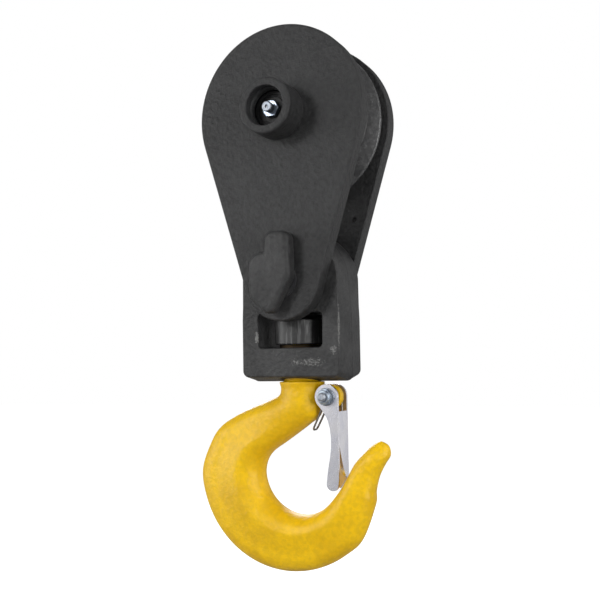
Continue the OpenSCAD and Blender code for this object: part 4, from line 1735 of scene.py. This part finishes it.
class ThreadTree:
    """A Geometry Nodes tree that puts thread crests on a round core along Y."""

    def __init__(self) -> None:
        """Builds the tree."""
        tree = geometry_group("thread_crests", {
            "Crests": "NodeSocketInt", "Pitch": NUMBER, "Radius": NUMBER, "Crest Height": NUMBER,
            "Centre": VECTOR, "Material": "NodeSocketMaterial",
        })
        given, out = tree.add("NodeGroupInput").outputs, tree.add("NodeGroupOutput")
        step = tree.add("ShaderNodeCombineXYZ", {1: given["Pitch"]})
        line = tree.add("GeometryNodeMeshLine", {"Count": given["Crests"], "Start Location": given["Centre"],
                                                 "Offset": step.outputs[0]})
        circle = tree.add("GeometryNodeCurvePrimitiveCircle", {"Radius": given["Radius"], "Resolution": 48})
        wire = tree.add("GeometryNodeCurvePrimitiveCircle", {"Radius": given["Crest Height"],
                                                             "Resolution": 6})
        ring = tree.add("GeometryNodeCurveToMesh", {"Curve": circle.outputs[0],
                                                    "Profile Curve": wire.outputs[0]})
        turn = tree.add("GeometryNodeTransform", {"Geometry": ring.outputs[0],
                                                  "Rotation": (math.pi / 2, 0, 0)})
        many = tree.add("GeometryNodeInstanceOnPoints", {"Points": line.outputs[0],
                                                         "Instance": turn.outputs[0]})
        both = tree.add("GeometryNodeJoinGeometry")
        tree.link(many.outputs[0], both.inputs[0])
        tree.link(given["Geometry"], both.inputs[0])
        solid = tree.add("GeometryNodeRealizeInstances", {"Geometry": both.outputs[0]})
        paint = tree.add("GeometryNodeSetMaterial", {"Geometry": solid.outputs[0],
                                                     "Material": given["Material"]})
        tree.link(paint.outputs[0], out.inputs[0])
        self.group = tree.tree

    def put_on(self, core: bpy.types.Object, crests: int, pitch: float, radius: float, height: float,
               start: Sequence[float], material: bpy.types.Material) -> bpy.types.Object:
        """Puts crests on a core and applies them.

        Args:
            core: The core.
            crests: Number of crests.
            pitch: Distance between two crests.
            radius: Radius of the core.
            height: Height of a crest.
            start: Centre of the first crest.
            material: The material of the whole piece.

        Returns:
            The core, with its crests.
        """
        step = core.modifiers.new("thread", "NODES")
        step.node_group = self.group
        set_input(step, "Crests", crests)
        set_input(step, "Pitch", pitch * MM)
        set_input(step, "Radius", radius * MM)
        set_input(step, "Crest Height", height * MM)
        set_input(step, "Centre", tuple(v * MM for v in start))
        set_input(step, "Material", material)
        core.update_tag()
        return settle(core)


class WireTree:
    """A Geometry Nodes tree that turns a path into a round wire."""

    def __init__(self) -> None:
        """Builds the tree."""
        tree = geometry_group("bent_wire", {"Wire Radius": NUMBER, "Sides": "NodeSocketInt",
                                            "Material": "NodeSocketMaterial"})
        given, out = tree.add("NodeGroupInput").outputs, tree.add("NodeGroupOutput")
        wire = tree.add("GeometryNodeCurvePrimitiveCircle", {"Radius": given["Wire Radius"],
                                                             "Resolution": given["Sides"]})
        tube = tree.add("GeometryNodeCurveToMesh", {"Curve": given["Geometry"],
                                                    "Profile Curve": wire.outputs[0], "Fill Caps": True})
        smooth = tree.add("GeometryNodeSetShadeSmooth", {"Geometry": tube.outputs[0]})
        solid = tree.add("GeometryNodeRealizeInstances", {"Geometry": smooth.outputs[0]})
        paint = tree.add("GeometryNodeSetMaterial", {"Geometry": solid.outputs[0],
                                                     "Material": given["Material"]})
        tree.link(paint.outputs[0], out.inputs[0])
        self.group = tree.tree

    def draw(self, name: str, path: Sequence[Vector], radius: float,
             material: bpy.types.Material) -> bpy.types.Object:
        """Bends a wire along a path.

        Args:
            name: Name of the piece.
            path: Points in millimetres.
            radius: Radius of the wire.
            material: Its material.

        Returns:
            The wire as a mesh.
        """
        curve = bpy.data.curves.new(name + "_path", "CURVE")
        curve.dimensions = "3D"
        spline = curve.splines.new("POLY")
        spline.points.add(len(path) - 1)
        for point, place in zip(spline.points, path):
            point.co = (*(place * MM), 1)
        guide = bpy.data.objects.new(name + "_guide", curve)
        bpy.context.scene.collection.objects.link(guide)
        step = guide.modifiers.new("wire", "NODES")
        step.node_group = self.group
        set_input(step, "Wire Radius", radius * MM)
        set_input(step, "Sides", 14)
        set_input(step, "Material", material)
        graph = bpy.context.evaluated_depsgraph_get()
        graph.update()
        mesh = bpy.data.meshes.new_from_object(guide.evaluated_get(graph), depsgraph=graph)
        mesh.name = name
        bpy.data.objects.remove(guide)
        bpy.data.curves.remove(curve)
        wire = bpy.data.objects.new(name, mesh)
        bpy.context.scene.collection.objects.link(wire)
        return wire


@dataclass
class LatchHardware:
    """The latch's bolt, lock nut, washers and spring."""

    bolt_r: float = 4.0
    thread_depth: float = 0.35
    nut_hex_h: float = 4.4
    nut_collar_r: float = 6.1
    nut_turn: float = 12.0
    washer_edge: float = 0.25
    flats: float = 13.0
    washer_t: float = 1.2
    washer_r: float = 8.0
    nut_h: float = 7.0
    stub: float = 3.0
    head_h: float = 5.0
    wire_r: float = 0.9
    pitch: float = 1.25
    crest: float = 0.32
    coil_turns: float = 1.45
    coil_steps: int = 60
    coil_gap: float = 2.5
    ear_inner: float = 9.0
    play: float = 0.1
    threads: ThreadTree = field(default_factory=ThreadTree)
    wires: WireTree = field(default_factory=WireTree)

    def bolt(self, finishes: Finishes, pivot: Vector, face: float) -> None:
        """Makes the bolt with its hexagon head behind and its threaded end in front.

        Args:
            finishes: The finishes.
            pivot: The latch's pivot.
            face: Distance from the middle to the outer face of the washers.
        """
        tip = -face - self.nut_h - self.stub
        r = self.bolt_r
        core_r = r - self.thread_depth
        outline = [(0, tip), (core_r - 1.2, tip), (core_r - 0.2, tip + 0.8), (core_r, tip + 1.2)]
        outline += [(core_r, -face - 1), (r, -face - 0.5), (r, face + 1), (0, face + 1)]
        shank = turned("shank", outline, centre=(pivot.x, 0, pivot.z), sides=64)
        head = hexagon("head", self.flats, face, face + self.head_h, pivot)
        bolt = round_edges(join(head, shank, Join.FUSE), 0.2, steps=2)
        bolt.name = "latch_bolt_turning"
        dress(bolt, finishes.dull_zinc)
        crests = int(self.stub / self.pitch) + 1
        first = (pivot.x, tip + 1.0, pivot.z)
        self.threads.put_on(bolt, crests, self.pitch, core_r, self.crest, first, finishes.dull_zinc)
        fit(bolt, finishes.dull_zinc, "hook", "zinc_plate", "latch_bolt")

    def nut(self, finishes: Finishes, pivot: Vector, face: float) -> None:
        """Makes the lock nut: a hexagon with a round collar in front.

        Args:
            finishes: The finishes.
            pivot: The latch's pivot.
            face: Distance from the middle to the outer face of the washers.
        """
        hex_h, dome = self.nut_hex_h, self.nut_collar_r
        front = -face - self.nut_h
        body = hexagon("latch_nut_turning", self.flats, -face - hex_h, -face, pivot, self.nut_turn)
        outline = [(0, -face - 0.5), (dome, -face - 0.5), (dome, -face - hex_h - 0.2)]
        outline += [(dome - 0.35, -face - hex_h - 0.55), (dome - 0.1, -face - hex_h - 0.9)]
        outline += arc((dome - 1.4, front + 1.4), 1.3, 0, -90, 5)
        outline += [(self.bolt_r + 0.5, front), (self.bolt_r + 0.1, front + 0.5), (0, front + 0.5)]
        collar = turned("collar", outline, centre=(pivot.x, 0, pivot.z), sides=72)
        body = join(body, collar, Join.FUSE)
        body = bore(body, self.bolt_r, (pivot.x, front - 1, pivot.z), (pivot.x, -face + 1, pivot.z), 48)
        fit(round_edges(body, 0.2, steps=2), finishes.blue_zinc, "hook", "zinc_plate", "latch_nut")

    def washers(self, finishes: Finishes, pivot: Vector, face: float) -> None:
        """Turns the two washers.

        Args:
            finishes: The finishes.
            pivot: The latch's pivot.
            face: Distance from the middle to the outer face of the washers.
        """
        inner = face - self.washer_t + 0.08
        edge, bore_r, r = self.washer_edge, self.bolt_r + 0.02, self.washer_r
        rings = []
        for low, high in ((-face, -inner), (inner, face)):
            outline = [(bore_r, low), (r - edge, low), (r, low + edge), (r, high - edge), (r - edge, high),
                       (bore_r, high)]
            rings.append(turned("ring", outline, centre=(pivot.x, 0, pivot.z), sides=72))
        pair = merge("latch_washer_pair", rings)
        fit(shade(pair), finishes.dull_zinc, "hook", "zinc_plate", "latch_washers")

    def spring(self, finishes: Finishes, pivot: Vector) -> None:
        """Bends the spring: a leg in the latch, a coil each side of the lug and a loop under the neck.

        Args:
            finishes: The finishes.
            pivot: The latch's pivot.
        """
        coil_r = self.bolt_r + self.coil_gap
        near = Hook.lug_t / 2 + self.wire_r + self.play
        far = self.ear_inner - self.wire_r - self.play
        turn = 360 * self.coil_turns
        leg_x = Latch.ear_r - Latch.sheet - self.wire_r - 0.3
        half = [Vector((leg_x, far, -30)), Vector((leg_x, far, -20)), Vector((coil_r + 0.3, far, -8))]
        for k in range(self.coil_steps + 1):
            a, share = math.radians(turn * k / self.coil_steps), k / self.coil_steps
            half.append(Vector((coil_r * math.cos(a), far - (far - near) * share, coil_r * math.sin(a))))
        half += [Vector((-8, near, -13)), Vector((-11.5, near, -20)), Vector((-15.2, near - 0.4, -27.2)),
                 Vector((-16.1, near - 1.2, -29)), Vector((-16.4, near - 2.6, -29.8))]
        whole = half + [Vector((p.x, -p.y, p.z)) for p in reversed(half)]
        path = [p + pivot for p in whole]
        wire = self.wires.draw("latch_spring_wire", path, self.wire_r, finishes.spring_steel)
        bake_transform(wire)
        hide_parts("latch_spring")
        LOG.info("%s bends between hook and latch", wire.name)

    def build(self, finishes: Finishes) -> None:
        """Builds the bolt, the nut, the washers and the spring.

        Args:
            finishes: The finishes.
        """
        pivot = joint_place("latch_swing")
        face = Extent.of("latch_washers").hi.y
        self.bolt(finishes, pivot, face)
        self.nut(finishes, pivot, face)
        self.washers(finishes, pivot, face)
        self.spring(finishes, pivot)


# ------------------------------------------------------------------ Plain CAD pieces


@dataclass
class PlainPieces:
    """The small turned pieces whose CAD shape is shown as it is."""

    dressed: dict[str, str] = field(default_factory=lambda: {
        "collar_set_screw": "black_steel", "nipple_ball": "ground_steel",
        # The bronze pieces take the bronze darkened as painted shade.
        "front_hub_washer": "bronze", "rear_hub_washer": "bronze", "sheave_bush": "bronze",
        "bolt_washer": "black_steel", "bolt_spring_ring": "black_steel",
        "thrust_washer": "bronze", "nut_lock_pin": "black_steel",
    })

    def build(self, finishes: Finishes) -> None:
        """Dresses each CAD node with its finish.

        Args:
            finishes: The finishes.
        """
        for node, finish in self.dressed.items():
            dress(frame["nodes"][node], getattr(finishes, finish))
            LOG.info("%s keeps its CAD shape", node)


# ------------------------------------------------------------------ Studio


@dataclass
class Studio:
    """The floor, the lights and the camera."""

    camera_place: tuple[float, float, float] = (352.1, -745.6, -224.0)
    yaw: float = 0.4422
    pitch: float = 0.0714
    roll: float = -0.0165
    lens: float = 54.0
    floor_drop: float = 160.0

    def camera(self) -> None:
        """Places the camera."""
        data = bpy.data.cameras.new("camera")
        data.lens = self.lens
        data.sensor_width = 36
        camera = bpy.data.objects.new("camera", data)
        bpy.context.scene.collection.objects.link(camera)
        level = math.cos(self.pitch)
        ahead = Vector((-math.sin(self.yaw) * level, math.cos(self.yaw) * level, math.sin(self.pitch)))
        right = Vector((math.cos(self.yaw), math.sin(self.yaw), 0))
        up = right.cross(ahead)
        side = right * math.cos(self.roll) + up * math.sin(self.roll)
        top = -right * math.sin(self.roll) + up * math.cos(self.roll)
        turn = Matrix((side, top, -ahead)).transposed().to_4x4()
        camera.matrix_world = Matrix.Translation(Vector(self.camera_place) * MM) @ turn
        bpy.context.scene.camera = camera

    def light(self, name: str, place: Sequence[float], size: tuple[float, float], power: float,
              only_gloss: bool = False, target: Sequence[float] = (0, 0, -160)) -> None:
        """Hangs one softbox.

        Args:
            name: Name of the light.
            place: Where it hangs, in millimetres.
            size: Its width and height in millimetres.
            power: Its power in watts.
            only_gloss: True for a panel that is only seen mirrored in glossy faces.
            target: The point that it faces.
        """
        data = bpy.data.lights.new(name, "AREA")
        data.shape = "RECTANGLE"
        data.size, data.size_y = size[0] * MM, size[1] * MM
        data.energy = power
        lamp = bpy.data.objects.new(name, data)
        bpy.context.scene.collection.objects.link(lamp)
        lamp.location = Vector(place) * MM
        lamp.rotation_euler = (Vector(target) - Vector(place)).to_track_quat("-Z", "Y").to_euler()
        lamp.visible_camera = False
        lamp.visible_diffuse = not only_gloss

    def world(self) -> None:
        """Makes the pale surroundings, dimmer as a light than they look."""
        world = bpy.data.worlds.new("pale_studio")
        bpy.context.scene.world = world
        world.use_nodes = True
        world.node_tree.nodes.clear()
        tree = Tree(world.node_tree)
        seen = tree.add("ShaderNodeBackground", {"Color": (1, 1, 1, 1), "Strength": 1.0})
        lit = tree.add("ShaderNodeBackground", {"Color": (1, 1, 1, 1), "Strength": 0.22})
        path = tree.add("ShaderNodeLightPath")
        mix = tree.add("ShaderNodeMixShader", {0: path.outputs["Is Camera Ray"], 1: lit.outputs[0],
                                               2: seen.outputs[0]})
        tree.add("ShaderNodeOutputWorld", {0: mix.outputs[0]})

    def floor(self) -> None:
        """Lays the pale floor."""
        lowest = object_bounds()[0].z / MM - self.floor_drop
        reach = 6000
        bm = bmesh.new()
        corners = [bm.verts.new((x, y, lowest)) for x, y in
                   ((-reach, -reach), (reach, -reach), (reach, reach), (-reach, reach))]
        bm.faces.new(corners)
        floor = new_object("floor", bm)
        material, tree, shader = blank_material("pale_floor")
        shader.inputs["Base Color"].default_value = (0.4, 0.4, 0.4, 1)
        shader.inputs["Roughness"].default_value = 0.9
        shader.inputs["Emission Color"].default_value = (1, 1, 1, 1)
        seen = tree.add("ShaderNodeLightPath").outputs["Is Camera Ray"]
        tree.link(tree.maths("MULTIPLY", seen, 0.97), shader.inputs["Emission Strength"])
        dress(floor, material)
        floor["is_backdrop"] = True

    def build(self) -> None:
        """Sets the whole studio up."""
        bpy.context.scene.view_settings.view_transform = "Standard"
        self.camera()
        self.world()
        self.floor()
        self.light("key", (-700, -1350, 330), (380, 380), 10.5)
        self.light("right_fill", (1350, -620, -60), (450, 1400), 17)
        self.light("front_fill", (500, -1300, -300), (900, 1200), 1.2)
        self.light("left_fill", (-1350, -500, -260), (450, 1000), 8)
        self.light("top", (100, -200, 1300), (900, 900), 3)
        self.light("left_panel", (-900, -1200, -250), (900, 1300), 2, only_gloss=True)
        self.light("rear_panel", (850, 1100, -150), (700, 1500), 3, only_gloss=True)
        self.light("rear_fill", (-700, 1300, 300), (600, 600), 9)


def main() -> None:
    """Builds every piece, then the studio."""
    logging.basicConfig(level=logging.INFO, format="%(name)s: %(message)s")
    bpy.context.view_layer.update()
    finishes = Finishes()
    for part in (SidePlates(), CentrePin(), Sheave(), HandleBolt(), Yoke(), Hook(), HookNut(), Latch(),
                 LatchHardware(), PlainPieces()):
        part.build(finishes)
        LOG.info("%s done", type(part).__name__)
    Studio().build()


if __name__ == "__main__":
    main()
